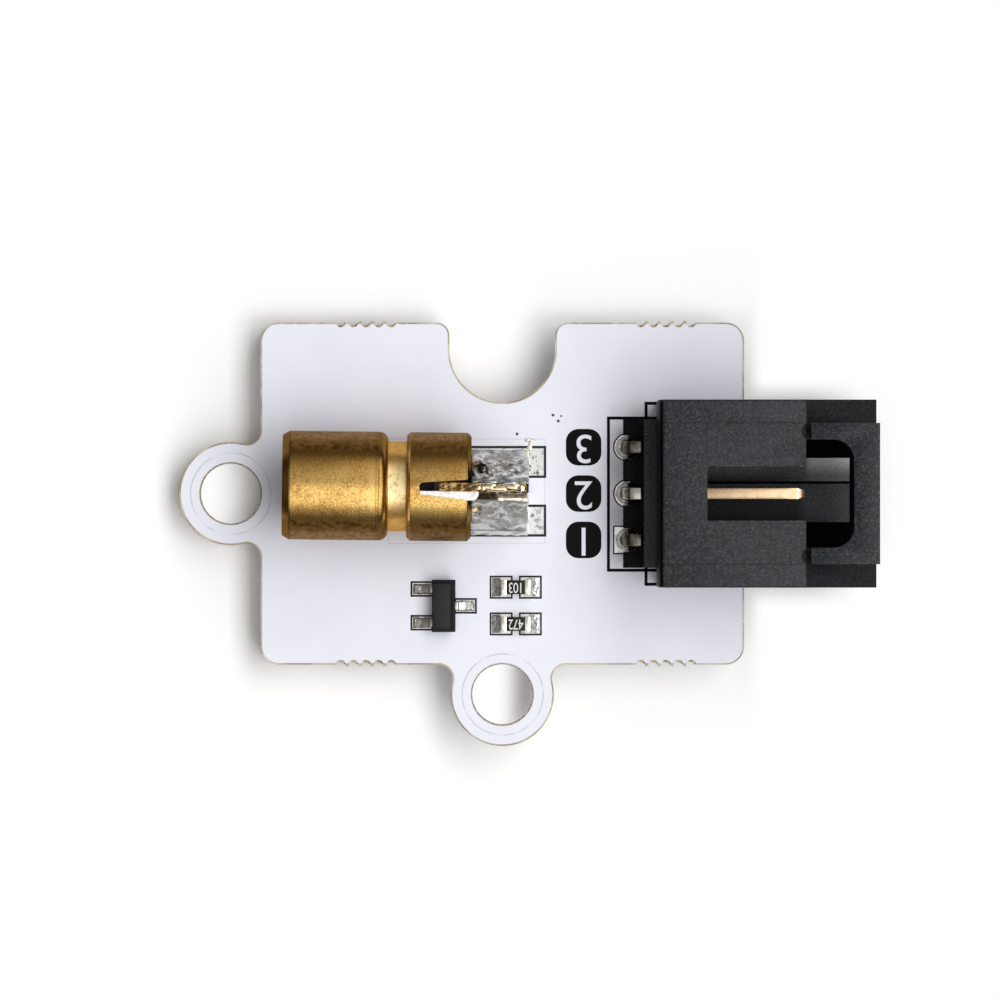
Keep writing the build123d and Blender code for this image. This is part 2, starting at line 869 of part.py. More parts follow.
def module_parts():
    """Every node of the module, by name, in its place."""
    parts = {}
    parts["board_core"] = board_core()
    parts["solder_mask_top"] = top_mask()
    parts["solder_mask_bottom"] = bottom_mask()
    parts["laser_pads"] = lands(laser_lands())
    parts["transistor_pads"] = lands(transistor_lands())
    parts["resistor_pads"] = lands(resistor_lands())
    parts["header_pads"] = header_pads()

    parts["laser_barrel"] = laser_place * laser_barrel()
    parts["lens_ring"] = laser_place * lens_ring()
    parts["collimating_lens"] = laser_place * lens()
    parts["driver_board"] = laser_place * driver_board()
    parts["diode_heatsink"] = laser_place * diode_heatsink()
    parts["laser_diode"] = laser_place * laser_diode()
    parts["slot_solder"] = laser_place * slot_solder()
    parts["laser_solder_left"] = laser_place * solder_bank(1)
    parts["laser_solder_right"] = laser_place * solder_bank(-1)

    chip_x = barrel_length + driver_chip_reach
    driver_face = Pos(chip_x, -driver_thickness / 2, driver_chip_rise) * Rot(90, 0, 0)
    chip_on_driver = laser_place * driver_face
    lifted = chip_on_driver * Pos(0, 0, driver_chip_lift)
    parts["driver_resistor_body"] = lifted * chip_ceramic()
    parts["driver_resistor_caps"] = lifted * chip_caps()
    parts["driver_resistor_solder"] = chip_on_driver * chip_solder(
        driver_land_gap, driver_land_length, chip_width, driver_chip_lift
    )

    transistor_place = Pos(board_mid_x + transistor_x, transistor_y, land_top)
    parts["transistor_body"] = transistor_place * transistor_body()
    for index, lead in enumerate(transistor_leads(), start=1):
        parts[f"transistor_lead_{index}"] = transistor_place * lead
    parts["transistor_solder"] = transistor_place * transistor_solder()

    solder = []
    for index, y in enumerate(resistor_rows, start=1):
        place = Pos(board_mid_x + resistor_x, y, land_top)
        parts[f"resistor_{index}_body"] = place * chip_ceramic()
        parts[f"resistor_{index}_caps"] = place * chip_caps()
        parts[f"resistor_{index}_coat"] = place * chip_coat()
        wedges = chip_solder(resistor_land_gap, resistor_land_length, resistor_land_width, 0)
        solder += (place * wedges).solids()
    parts["resistor_solder"] = Compound(children=solder)

    pins = [header_pin(y) for y in pin_rows]
    parts["header_housing"] = header_housing(pins)
    for index, pin in enumerate(pins, start=1):
        parts[f"header_pin_{index}"] = pin
    parts["header_solder"] = header_solder(pins)
    return parts


os.makedirs("parts", exist_ok=True)
for name, shape in module_parts().items():
    export_step(shape, f"parts/{name}.step")
    box = shape.bounding_box()
    summary = f"{len(shape.solids())} solids, {shape.volume:.4f} mm3"
    print(f"{name:24s} {summary:26s} z {box.min.Z:.2f} to {box.max.Z:.2f}")
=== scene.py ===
# %% [markdown]
# # Laser diode module
# The real object is a small white circuit board with two screw lugs. It carries a turned brass laser
# head, a few soldered parts and a black pin header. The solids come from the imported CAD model, so this
# lesson only adds what the eye needs: finishes, softened edges, solder, print and small marks.
# Everything is in metres, and the CAD model's own places are used as they are.

import math

import bmesh
import bpy
from mathutils import Euler, Matrix, Vector, noise


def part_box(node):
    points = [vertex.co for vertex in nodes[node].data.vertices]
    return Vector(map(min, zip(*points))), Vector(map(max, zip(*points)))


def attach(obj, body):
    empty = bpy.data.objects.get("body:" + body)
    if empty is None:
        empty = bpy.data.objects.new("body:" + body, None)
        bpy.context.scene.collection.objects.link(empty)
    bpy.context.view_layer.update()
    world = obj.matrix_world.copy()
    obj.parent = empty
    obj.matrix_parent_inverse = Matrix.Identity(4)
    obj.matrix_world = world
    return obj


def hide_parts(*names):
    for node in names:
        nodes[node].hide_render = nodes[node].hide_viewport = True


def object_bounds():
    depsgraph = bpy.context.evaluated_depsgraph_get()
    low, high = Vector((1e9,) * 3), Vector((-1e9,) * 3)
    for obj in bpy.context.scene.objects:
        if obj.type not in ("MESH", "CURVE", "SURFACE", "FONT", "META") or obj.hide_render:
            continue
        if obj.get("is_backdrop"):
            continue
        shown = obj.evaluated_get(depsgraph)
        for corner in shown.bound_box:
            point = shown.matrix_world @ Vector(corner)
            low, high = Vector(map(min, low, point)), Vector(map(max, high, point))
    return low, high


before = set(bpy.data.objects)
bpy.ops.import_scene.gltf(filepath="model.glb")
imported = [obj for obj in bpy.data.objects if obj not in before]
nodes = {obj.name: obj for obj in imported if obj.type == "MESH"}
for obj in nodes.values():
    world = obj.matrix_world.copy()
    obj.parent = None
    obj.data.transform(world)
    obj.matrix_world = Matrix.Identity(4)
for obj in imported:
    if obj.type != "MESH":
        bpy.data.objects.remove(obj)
cad_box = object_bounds()
MM = 0.001
TO_METRES = Matrix.Scale(MM, 4)
print("nodes:", len(nodes))

# %% [markdown]
# ## Sizes that several steps share
# The board's middle is the reference for everything on it. Sizes are in millimetres, as on a drawing,
# and a helper turns them into metres where a mesh needs them.

# %% Shared sizes
BOARD_MID_X = 14.88
BOARD_HALF_WIDTH = 9.375
BOARD_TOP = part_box("solder_mask_top")[1].z / MM
CORE_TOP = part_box("board_core")[1].z / MM
LUG_HOLES = ((0.0, 0.0), (BOARD_MID_X, -11.005))
LUG_HOLE_RADIUS = 1.65
BREAK_OFF_ROWS = (-7.47, 8.97)
PIN_PITCH = 2.54
PIN_JOINT_RADIUS = 0.66
PIN_ROW_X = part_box("header_solder")[0].x / MM + PIN_JOINT_RADIUS
barrel_low, barrel_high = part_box("laser_barrel")
BARREL_MIDDLE = (barrel_low + barrel_high) / 2 / MM
BARREL_YAW = math.radians(-0.7)
BARREL_LENGTH = 10.31


def to_metres(*values):
    return Vector(values) * MM


def linked(name, data):
    """A new object in the scene."""
    made = bpy.data.objects.new(name, data)
    bpy.context.scene.collection.objects.link(made)
    return made


print("board top", BOARD_TOP, "barrel middle", [round(v, 3) for v in BARREL_MIDDLE])

# %% [markdown]
# ## Camera
# The photograph was taken from straight above and from so far away that the sides of the parts don't
# show. A long lens a metre above the board gives the same flat view.

# %% Camera
CAMERA_HEIGHT = 1000.0
PHOTO_WIDTH = 54.795
SENSOR = 36.0
CAMERA_X = 14.7566
CAMERA_Y = -0.3506

camera_data = bpy.data.cameras.new("camera")
camera_data.sensor_width = SENSOR
camera_data.lens = SENSOR * CAMERA_HEIGHT / PHOTO_WIDTH
camera_data.clip_start = 0.01
camera_data.clip_end = 20.0
camera = linked("camera", camera_data)
camera.location = to_metres(CAMERA_X, CAMERA_Y, BOARD_TOP + CAMERA_HEIGHT)
bpy.context.scene.camera = camera
bpy.context.scene.view_settings.view_transform = "Standard"
print("lens", round(camera_data.lens, 1), "mm")

# %% [markdown]
# ## Formulas on nodes
# A finish is mostly sums: where an edge is, how worn it is, which colour wins. Written with nodes alone
# that is hard to read, so a small class lets a formula on numbers add the Math nodes by itself. The
# same class serves the materials, the world and the Geometry Nodes trees.

# %% Formulas and paints
SPOT_CORE = 0.55
SPOT_WANDER = 3.4


class Amount:
    """What a node gives. Formulas on numbers add Math nodes."""

    def __init__(self, formula, socket):
        self.formula = formula
        self.socket = socket

    def math(self, operation, *others):
        values = dict(enumerate((self, *others)))
        return self.formula.node("ShaderNodeMath", {"operation": operation}, values)

    def __add__(self, other):
        return self.math("ADD", other)

    def __sub__(self, other):
        return self.math("SUBTRACT", other)

    def __rsub__(self, other):
        return self.formula.node("ShaderNodeMath", {"operation": "SUBTRACT"}, {0: other, 1: self})

    def __mul__(self, other):
        return self.math("MULTIPLY", other)

    __radd__ = __add__
    __rmul__ = __mul__

    def abs(self):
        return self.math("ABSOLUTE")

    def rise(self, low, high):
        """0 up to low, 1 from high on, and a soft step between them."""
        steps = {"interpolation_type": "SMOOTHSTEP"}
        return self.formula.node("ShaderNodeMapRange", steps, {0: self, 1: low, 2: high})

    def band(self, low, high, soft):
        """1 between low and high, 0 outside, with soft sides."""
        return self.rise(low - soft, low + soft) * (1 - self.rise(high - soft, high + soft))


class Formula:
    """A node tree that is written as expressions."""

    def __init__(self, tree):
        self.tree = tree

    def connect(self, value, socket):
        """Links or sets one value, or links each of a list to the same socket."""
        values = value if isinstance(value, list) else [value]
        for one in values:
            if isinstance(one, Amount):
                self.tree.links.new(one.socket, socket)
            elif isinstance(one, tuple) and socket.type == "RGBA":
                socket.default_value = (*one, 1)
            else:
                socket.default_value = one

    def node(self, kind, settings=None, inputs=None, output=0):
        made = self.tree.nodes.new(kind)
        for setting, value in (settings or {}).items():
            setattr(made, setting, value)
        for key, value in (inputs or {}).items():
            self.connect(value, made.inputs[key])
        return Amount(self, made.outputs[output])

    def rays(self, *kinds):
        """1 for the named kinds of ray."""
        return widest(*(self.node("ShaderNodeLightPath", output=f"Is {kind} Ray") for kind in kinds))


class Paint(Formula):
    """One material: a Principled shader, the colour so far, and short ways to feed it."""

    def __init__(self, name, color=(0.8, 0.8, 0.8), **constants):
        self.material = bpy.data.materials.new(name)
        self.material.use_nodes = True
        super().__init__(self.material.node_tree)
        self.color = color
        self.shader = self.tree.nodes["Principled BSDF"]
        for label, value in constants.items():
            socket_name = label.replace("_", " ").title().replace("Ior", "IOR")
            self.shader.inputs[socket_name].default_value = value
        place = self.node("ShaderNodeTexCoord", output="Object")
        self.place = self.vector("SCALE", place, {3: 1 / MM})

    def vector(self, operation, first, others):
        return self.node("ShaderNodeVectorMath", {"operation": operation}, {0: first, **others})

    def move(self, origin, turn):
        """Measures places from another origin, turned with the piece."""
        inputs = {0: self.place, 1: origin, 2: turn}
        self.place = self.node("ShaderNodeMapping", {"vector_type": "TEXTURE"}, inputs)

    def axes(self, names="XYZ"):
        """The named coordinates in millimetres."""
        return [self.node("ShaderNodeSeparateXYZ", inputs={0: self.place}, output=name) for name in names]

    def noise(self, size, seed, detail=3.0, roughness=0.5, stretch=(1, 1, 1)):
        """Cloudy values about 0.5, with blotches of the given size in millimetres."""
        place = self.vector("DIVIDE", self.place, {1: tuple(size * s for s in stretch)})
        inputs = {0: place, 1: float(seed), 2: 1.0, 3: detail, 4: roughness}
        return self.node("ShaderNodeTexNoise", {"noise_dimensions": "4D"}, inputs)

    def mix(self, factor, first, second):
        """Colour between two colours."""
        inputs = {0: factor, 6: first, 7: second}
        return self.node("ShaderNodeMix", {"data_type": "RGBA"}, inputs, output=2)

    def cover(self, mask, color):
        """Lays a colour over the colour so far, where the mask is 1."""
        self.color = self.mix(mask, self.color, color)

    def take_over(self, mask, kind, color):
        """Mixes another shader of one colour over the first one."""
        other = self.tree.nodes.new(kind)
        other.inputs["Color"].default_value = (*color, 1)
        mixed = self.tree.nodes.new("ShaderNodeMixShader")
        self.connect(mask, mixed.inputs[0])
        self.tree.links.new(self.shader.outputs[0], mixed.inputs[1])
        self.tree.links.new(other.outputs[0], mixed.inputs[2])
        self.tree.links.new(mixed.outputs[0], self.tree.nodes["Material Output"].inputs["Surface"])

    def dull(self, mask, color):
        """Where the mask is 1, a matt shader of another colour takes over."""
        self.take_over(mask, "ShaderNodeBsdfDiffuse", color)

    def finish(self, rough, relief=None, metal=None):
        """Feeds the colour so far, the roughness, a relief in millimetres and the share of metal."""
        links = {"Base Color": self.color, "Roughness": rough}
        if metal is not None:
            links["Metallic"] = metal
        if relief is not None:
            links["Normal"] = self.node("ShaderNodeBump", inputs={0: 1.0, 1: MM, 3: relief})
        for socket_name, value in links.items():
            self.connect(value, self.shader.inputs[socket_name])
        return self.material


def widest(*masks):
    """The largest of several masks at each place."""
    found = masks[0]
    for mask in masks[1:]:
        found = found.math("MAXIMUM", mask)
    return found


def distance_from(x, y, centre):
    """Distance in plan from a centre, in millimetres."""
    across = x - centre[0]
    along = y - centre[1]
    return (across * across + along * along).math("SQRT")


def inside_box(x, y, box, soft=0.01):
    """1 inside the plan box (x from, x to, y from, y to)."""
    return x.band(box[0], box[1], soft) * y.band(box[2], box[3], soft)


def inset(box, margin):
    """The plan box with its sides moved inwards."""
    return (box[0] + margin, box[1] - margin, box[2] + margin, box[3] - margin)


def spots(x, y, places, wander=None):
    """1 inside any of the soft spots (x, y, radius). A noise can make their outlines wander."""
    found = []
    for centre_x, centre_y, radius in places:
        reach = distance_from(x, y, (centre_x, centre_y))
        if wander is not None:
            reach = reach + (wander - 0.5) * radius * SPOT_WANDER
        found.append(1 - reach.rise(radius * SPOT_CORE, radius))
    return widest(*found)


def grey(value):
    return (value, value, value)


def darker(color, share):
    return tuple(part * share for part in color)


print("paint tools ready")

# %% [markdown]
# ## Board finishes
# The board is a tan glass-fibre laminate under a white lacquer. Milling leaves the laminate's plies in
# view on the edge, and drilled holes show a thin brown rim. The lacquer is never quite even: copper
# under it lifts it a little, and its colour leans to violet. The faint outlines of the copper areas are
# drawn with simple distances, because that is how the board maker drew them. Round the lands the bare
# laminate in the clearance gap is painted near-black, as painted shade.

# %% Laminate and lacquer
COPPER_AREA = (8.6, 17.22, -2.75, 3.02)
COPPER_LINE = 0.07
COPPER_RING_RADIUS = 2.22
COPPER_RING_HALF_LINE = 0.04
INK_SPECKS = ((17.66, 4.3, 0.1), (17.95, 3.98, 0.1), (18.1, 4.25, 0.07), (15.69, 3.27, 0.1))
LAND_AREAS = (
    (11.3, 17.35, -2.45, 2.7),
    (9.8, 13.6, -7.7, -4.5),
    (14.0, 17.5, -7.8, -4.4),
    (20.9, 22.6, -3.5, 3.5),
)


def laminate():
    paint = Paint("glass_fibre_laminate")
    x, y, z = paint.axes()
    plies = paint.noise(0.16, seed=1, detail=2, stretch=(9, 9, 1))
    fibres = paint.noise(0.05, seed=2, detail=3, stretch=(4, 4, 0.6))
    weave = paint.noise(0.5, seed=3, detail=2)
    paint.color = paint.mix(plies.rise(0.35, 0.65), (0.34, 0.26, 0.15), (0.60, 0.53, 0.40))
    paint.cover(fibres.rise(0.55, 0.7) * 0.6, (0.80, 0.74, 0.60))
    paint.cover(weave.rise(0.5, 0.75) * 0.5, (0.24, 0.17, 0.09))
    # painted shade: the bare laminate's top in the clearance gap round the lands is painted near-black
    top = z.rise(CORE_TOP - 0.02, CORE_TOP - 0.005)
    inner = widest(*(inside_box(x, y, box) for box in LAND_AREAS))
    painted_gap_shade = paint.mix(weave.rise(0.4, 0.6), grey(0.002), (0.012, 0.010, 0.006))
    paint.cover(top * inner, painted_gap_shade)
    return paint.finish(rough=fibres * 0.3 + 0.5, relief=fibres * 0.01 + plies * 0.012)


def lacquer():
    paint = Paint("white_lacquer")
    x, y = paint.axes("XY")
    cloud = paint.noise(3.0, seed=4, detail=3)
    speck = paint.noise(0.09, seed=5, detail=2)
    paint.color = paint.mix(cloud.rise(0.3, 0.7), (0.785, 0.785, 0.865), (0.815, 0.815, 0.89))
    paint.cover(speck.rise(0.62, 0.8) * 0.2, (0.72, 0.71, 0.76))

    outer = inside_box(x, y, COPPER_AREA, soft=0.02)
    lines = [outer * (1 - inside_box(x, y, inset(COPPER_AREA, COPPER_LINE), soft=0.02))]
    scratch = paint.noise(0.9, seed=6, detail=3).rise(0.36, 0.6) * 1.6 + 0.3
    rims = []
    for centre in LUG_HOLES:
        reach = distance_from(x, y, centre)
        ring_start = COPPER_RING_RADIUS - COPPER_RING_HALF_LINE
        ring_end = COPPER_RING_RADIUS + COPPER_RING_HALF_LINE
        lines.append(reach.band(ring_start, ring_end, 0.02) * scratch)
        rims.append(1 - reach.rise(LUG_HOLE_RADIUS + 0.05, LUG_HOLE_RADIUS + 0.1))
    lines = widest(*lines)
    rims = widest(*rims)
    paint.cover(lines * 0.22, (0.42, 0.42, 0.48))
    paint.cover(rims, paint.mix(speck.rise(0.35, 0.6), (0.14, 0.10, 0.05), (0.42, 0.36, 0.25)))
    paint.cover(spots(x, y, INK_SPECKS), grey(0.01))
    relief = cloud * 0.03 + speck * 0.0015 - lines * 0.008 - rims * 0.02
    return paint.finish(rough=speck * 0.12 + rims * 0.3 + 0.33, relief=relief)


nodes["board_core"].data.materials[0] = laminate()
white_lacquer = lacquer()
for name in ("solder_mask_top", "solder_mask_bottom"):
    nodes[name].data.materials[0] = white_lacquer
print("board dressed")

# %% [markdown]
# ## Metals
# Three metals matter here. Brass tarnishes brown in spots and stays bright where a tool cut it last.
# Solder is grey and glassy, with brown stains of flux. Tin plating is smooth and pale. All are one idea:
# a bright metal, a dull cover and a mask that says where the cover is. The brass comes first, with one
# step for the turned surface, one for its dark lines of painted shade and one for the groove.

# %% Brass
GROOVE_START = 5.77
GROOVE_END = 6.79
SHOULDER_START = 5.35
SHOULDER_LINE = 5.13
MOUTH_CHAMFER_END = 0.38


def brass():
    """Turned brass: x runs from the barrel's mouth, y across it."""
    paint = Paint("turned_brass", metallic=1.0, specular_tint=(0.80, 0.66, 0.48, 1))
    mouth = BARREL_MIDDLE - Matrix.Rotation(BARREL_YAW, 3, "Z") @ Vector((BARREL_LENGTH / 2, 0, 0))
    paint.move(tuple(mouth), (0, 0, BARREL_YAW))
    x, y = paint.axes("XY")
    away = y.abs()
    grain = paint.noise(0.10, seed=11, detail=3, roughness=0.65)
    speckle = paint.noise(0.34, seed=12, detail=5, roughness=0.7)
    patches = paint.noise(1.5, seed=15, detail=3)
    rings = paint.noise(0.06, seed=13, detail=3, stretch=(1, 60, 60))
    groove = x.band(GROOVE_START - 0.03, GROOVE_END, 0.02)
    lip = x.band(GROOVE_END, GROOVE_END + 0.22, 0.015)
    rear = x.rise(GROOVE_END, GROOVE_END + 0.2)
    clean = widest(groove, lip * 0.6)

    # bright turned metal under a brown tarnish film, thinned on the lower rear side as a painted
    # highlight
    worn = rear * (y.rise(-0.7, 0.5) * 0.04 - y.band(-2.0, -0.7, 0.3) * 0.05)
    film = grain * 0.6 + speckle * 0.4 + (patches - 0.5) * 0.25 + away.rise(0.6, 2.2) * 0.07 + worn
    tarnish = film.rise(0.42, 0.66) * (1 - clean * 0.75)
    paint.color = paint.mix(rings.rise(0.3, 0.7), (0.88, 0.54, 0.15), (0.95, 0.66, 0.24))
    paint.cover(tarnish, (0.42, 0.195, 0.045))
    # painted shade: the flanks darken towards the sides, more on the upper one
    flank_shade = widest(y.rise(0.3, 1.5) * 0.75, (1 - y.rise(-2.2, -1.5)) * 0.4)
    paint.cover(flank_shade * (1 - groove * 0.6), (0.34, 0.165, 0.035))
    # painted shade with tarnish towards the sides, and handling wear with painted sheen at the outermost
    # edges
    side = (away + (speckle - 0.5) * 0.5).rise(1.7, 2.15)
    outer = (away + (speckle - 0.5) * 0.4).rise(2.3, 2.8)
    side_shade_and_stain = paint.mix(speckle.rise(0.4, 0.62), (0.20, 0.105, 0.030), (0.075, 0.038, 0.011))
    handled = (grain * 0.5 + speckle * 0.5).rise(0.44, 0.58)
    wear_and_sheen = paint.mix(handled, (0.33, 0.21, 0.11), (0.15, 0.09, 0.045))
    paint.cover(side * (1 - groove * 0.8), paint.mix(outer, side_shade_and_stain, wear_and_sheen))

    # painted shade on the mouth chamfer, the heel, the mouth and shoulder lines and the shoulder, and
    # tarnish flecks
    chamfer_shade = 1 - x.rise(MOUTH_CHAMFER_END - 0.02, MOUTH_CHAMFER_END + 0.02)
    paint.cover(chamfer_shade * 0.85, (0.17, 0.085, 0.025))
    mouth_line = x.band(MOUTH_CHAMFER_END, MOUTH_CHAMFER_END + 0.08, 0.02)
    shoulder_line = x.band(SHOULDER_LINE - 0.03, SHOULDER_LINE + 0.03, 0.02)
    paint.cover(widest(mouth_line, shoulder_line * 0.7) * 0.6, (0.07, 0.035, 0.012))
    heel_shade = x.rise(BARREL_LENGTH - 0.32, BARREL_LENGTH - 0.24)
    paint.cover(heel_shade * 0.75, (0.15, 0.075, 0.022))
    flecks = rear * y.band(-1.1, 0.3, 0.2) * grain.rise(0.5, 0.58)
    paint.cover(flecks * 0.6, (0.42, 0.23, 0.06))
    shoulder_shade = x.band(SHOULDER_START - 0.06, GROOVE_START - 0.03, 0.04)
    paint.cover(shoulder_shade * (y.rise(-0.6, 0.7) * 0.45 + 0.45), (0.27, 0.14, 0.035))
    paint.cover(x.band(SHOULDER_START - 0.12, SHOULDER_START + 0.12, 0.04) * 0.6, (0.17, 0.085, 0.022))

    # the groove: painted shade on its walls, a bent burr, and metal that the tool left pale, with a
    # painted highlight down its middle and shade towards the sides
    front_wall = x.band(GROOVE_START - 0.06, GROOVE_START + 0.05, 0.02)
    rear_wall = x.band(GROOVE_END - 0.05, GROOVE_END + 0.1, 0.03)
    paint.cover(widest(front_wall, rear_wall) * 0.8, (0.13, 0.075, 0.03))
    burr = x.band(GROOVE_START - 0.04, GROOVE_START + 0.03, 0.01) * grain.rise(0.42, 0.55)
    paint.cover(burr * 0.6, (0.62, 0.42, 0.33))
    paint.cover(groove * 0.7, paint.mix(away.rise(0.3, 1.7), (0.98, 0.84, 0.52), (0.78, 0.44, 0.12)))
    paint.cover(groove * speckle.rise(0.5, 0.62) * 0.6, (0.50, 0.30, 0.10))
    paint.cover(lip * 0.25, (0.45, 0.24, 0.07))
    relief = grain * 0.004 + speckle * 0.003 * (1 - clean) + rings * 0.004 * groove + rings * 0.001
    return paint.finish(rough=tarnish * 0.08 + groove * 0.14 + side * 0.15 + 0.22, relief=relief)


turned_brass = brass()
print("brass ready")

# %% [markdown]
# ## Solder and tin
# Each joint froze with a character of its own, so each has its own function: a pale bead in the slot,
# glassy banks with painted shade in their hollows, small mounds painted shaded on the left and lit on
# the right, and cream fillets round the pins with painted shade under the housing. The lands are tinned,
# and painted black shade runs round those that the solder leaves in view.

# %% Solder and tin
BANK_HOLLOWS = ((13.67, 1.40, 0.42), (13.25, 1.10, 0.22), (14.05, 1.25, 0.22))
BANK_GULLIES = ((15.28, 1.40, 0.26), (16.02, 1.40, 0.22), (15.65, 1.15, 0.18), (14.3, 0.98, 0.15))
BANK_STAINS = ((13.55, -0.91, 0.26), (13.3, -0.85, 0.2), (13.45, 1.68, 0.16))
BANK_SHADOW_BOX = (13.5, 14.7, -0.33, 0.1)
BANK_CREASE = (13.1, 16.0, -2.04, -1.96)
PAD_MARKS = (
    (16.36, 1.50, 0.09),
    (16.36, 1.25, 0.09),
    (16.62, 1.12, 0.12),
    (16.8, 1.12, 0.10),
    (16.55, -1.21, 0.10),
)
SAME_PLACE = 0.0004
LEAD_MIDDLE_X = 12.3
CHIP_MIDDLE_X = 15.6


def bead_finish():
    """The bead in the slot: pale, nearly white solder with a few grey veins."""
    paint = Paint("bead_solder")
    warp = paint.noise(0.7, seed=37, detail=2)
    marble = paint.noise(0.5, seed=38, detail=3, roughness=0.55)
    grain = paint.noise(0.06, seed=39, detail=3)
    veins = 1 - (marble + warp * 0.3 - 0.66).abs().rise(0.0, 0.035)
    paint.color = paint.mix(marble.rise(0.36, 0.54), (0.72, 0.69, 0.62), (0.96, 0.95, 0.93))
    paint.cover(veins * 0.5, (0.66, 0.62, 0.54))
    stain = paint.noise(0.65, seed=40, detail=3).rise(0.56, 0.68) * 0.2
    paint.cover(stain, (0.26, 0.15, 0.05))
    rough = marble * 0.2 + grain * 0.1 + 0.16
    relief = marble * 0.02 + grain * 0.003 - veins * 0.006
    return paint.finish(rough, relief, metal=0.3 - stain * 0.2)


def bank_finish():
    """The two banks: glassy grey with a rough brown middle, and painted shade in the hollows, on the seam
    lines and below the ridge.
    """
    paint = Paint("bank_solder")
    x, y, z = paint.axes()
    cloud = paint.noise(0.8, seed=21, detail=2)
    fine = paint.noise(0.17, seed=22, detail=3, roughness=0.6)
    wander = paint.noise(0.3, seed=23, detail=3, roughness=0.6)
    rough_zone = y.band(0.9, 2.1, 0.12) * (1 - x.rise(15.2, 16.2) * 0.5)
    paint.color = paint.mix(cloud.rise(0.42, 0.58), (0.33, 0.325, 0.31), (0.80, 0.80, 0.79))
    paint.cover(x.rise(15.5, 16.1) * 0.6, grey(0.92))
    paint.cover(fine.rise(0.44, 0.58) * rough_zone * 0.8, (0.20, 0.17, 0.135))
    paint.cover(fine.rise(0.6, 0.7) * 0.35, (0.28, 0.27, 0.25))
    paint.cover((1 - y.rise(-0.6, 0.2)) * 0.7, (0.88, 0.87, 0.84))
    # painted shade: dark in the gullies and near-black in the hollows that the dents make
    paint.cover(spots(x, y, BANK_GULLIES, wander) * 0.7, (0.10, 0.095, 0.085))
    paint.cover(spots(x, y, BANK_HOLLOWS, wander), (0.02, 0.016, 0.010))
    paint.cover(spots(x, y, BANK_STAINS, wander) * 0.8, (0.28, 0.16, 0.04))
    # painted shadow: a dark brown patch where the driver board shades the bank
    flux = paint.mix(fine.rise(0.42, 0.56), (0.16, 0.085, 0.025), (0.03, 0.018, 0.008))
    paint.cover(inside_box(x, y, BANK_SHADOW_BOX, soft=0.04) * 0.95, flux)
    # painted shade: black along the banks' outer edges by the clearance line, and in a crease
    edge_shade = widest(y.rise(2.50, 2.55), 1 - y.rise(-2.26, -2.20)) * (1 - z.rise(1.72, 1.85))
    crease = y.band(*BANK_CREASE[2:], 0.02) * x.band(*BANK_CREASE[:2], 0.05) * fine.rise(0.3, 0.45)
    seam_shade = widest(edge_shade, crease * 0.75)
    paint.cover(seam_shade, grey(0.004))
    rough = cloud * 0.15 + fine * 0.1 + 0.14
    relief = fine * 0.006 * (rough_zone + 0.3) + cloud * 0.01
    return paint.finish(rough, relief, metal=0.75 - seam_shade * 0.7)


def joint_finish(name, seed, middle_x, left, right):
    """Small joints, painted shaded on the left of the given place and painted lit on the right of it."""
    paint = Paint(name)
    [x] = paint.axes("X")
    marble = paint.noise(0.22, seed=seed, detail=3, roughness=0.55)
    stain = paint.noise(0.35, seed=seed + 3, detail=3).rise(0.56, 0.68) * 0.35
    # painted light and shade: the left colour is the shaded side of the joints, the right colour the lit
    # side
    paint.color = paint.mix(x.rise(middle_x - 0.1, middle_x + 0.1), left, right)
    paint.cover(marble.rise(0.56, 0.66) * 0.7, darker(left, 0.35))
    paint.cover(stain, (0.30, 0.18, 0.08))
    return paint.finish(marble * 0.25 + 0.12, relief=marble * 0.012, metal=0.75 - stain)


def pin_joint_finish():
    """Cream fillets with a ring of brown flux, and painted black shade where the housing overhangs them.
    """
    paint = Paint("pin_joint_solder")
    x, y, z = paint.axes()
    marble = paint.noise(0.2, seed=31, detail=3, roughness=0.6)
    wander = paint.noise(0.25, seed=32, detail=2)
    rings = []
    nearest = None
    for index in (-1, 0, 1):
        pin_y = index * PIN_PITCH
        reach = distance_from(x, y, (PIN_ROW_X, pin_y)) + (wander - 0.5) * 0.2
        rings.append(reach.band(0.30, 0.42, 0.03))
        off_pin = (y - pin_y).abs()
        nearest = off_pin if nearest is None else nearest.math("MINIMUM", off_pin)
    paint.color = paint.mix(marble.rise(0.46, 0.62), (0.95, 0.92, 0.84), (0.50, 0.43, 0.32))
    burnt = paint.mix(wander.rise(0.45, 0.6), (0.02, 0.016, 0.010), (0.18, 0.09, 0.02))
    paint.cover(widest(*rings) * wander.rise(0.3, 0.45) * 0.95, burnt)
    # painted shade: black where the housing overhangs the joints
    overhung_shade = x.rise(PIN_ROW_X - 0.02, PIN_ROW_X + 0.08) * z.rise(BOARD_TOP - 0.1, BOARD_TOP)
    paint.dull(overhung_shade * nearest.rise(0.31, 0.37) * 0.96, grey(0.004))
    return paint.finish(marble * 0.3 + 0.14, relief=marble * 0.02, metal=0.25)


def tin(name, seed, color, rough=0.14, shade_until=-99):
    """Tin plating, with painted shade up to a place along the board."""
    paint = Paint(name, metallic=1.0)
    [x] = paint.axes("X")
    cloud = paint.noise(0.3, seed=seed, detail=3)
    grain = paint.noise(0.05, seed=seed + 1, detail=2)
    paint.color = paint.mix(cloud.rise(0.45, 0.75), color, darker(color, 0.62))
    # painted shade on the part before that place
    paint.cover((1 - x.rise(shade_until - 0.1, shade_until + 0.1)) * 0.75, (0.17, 0.155, 0.14))
    return paint.finish(cloud * 0.2 + grain * 0.1 + rough, relief=cloud * 0.004 + grain * 0.0006)


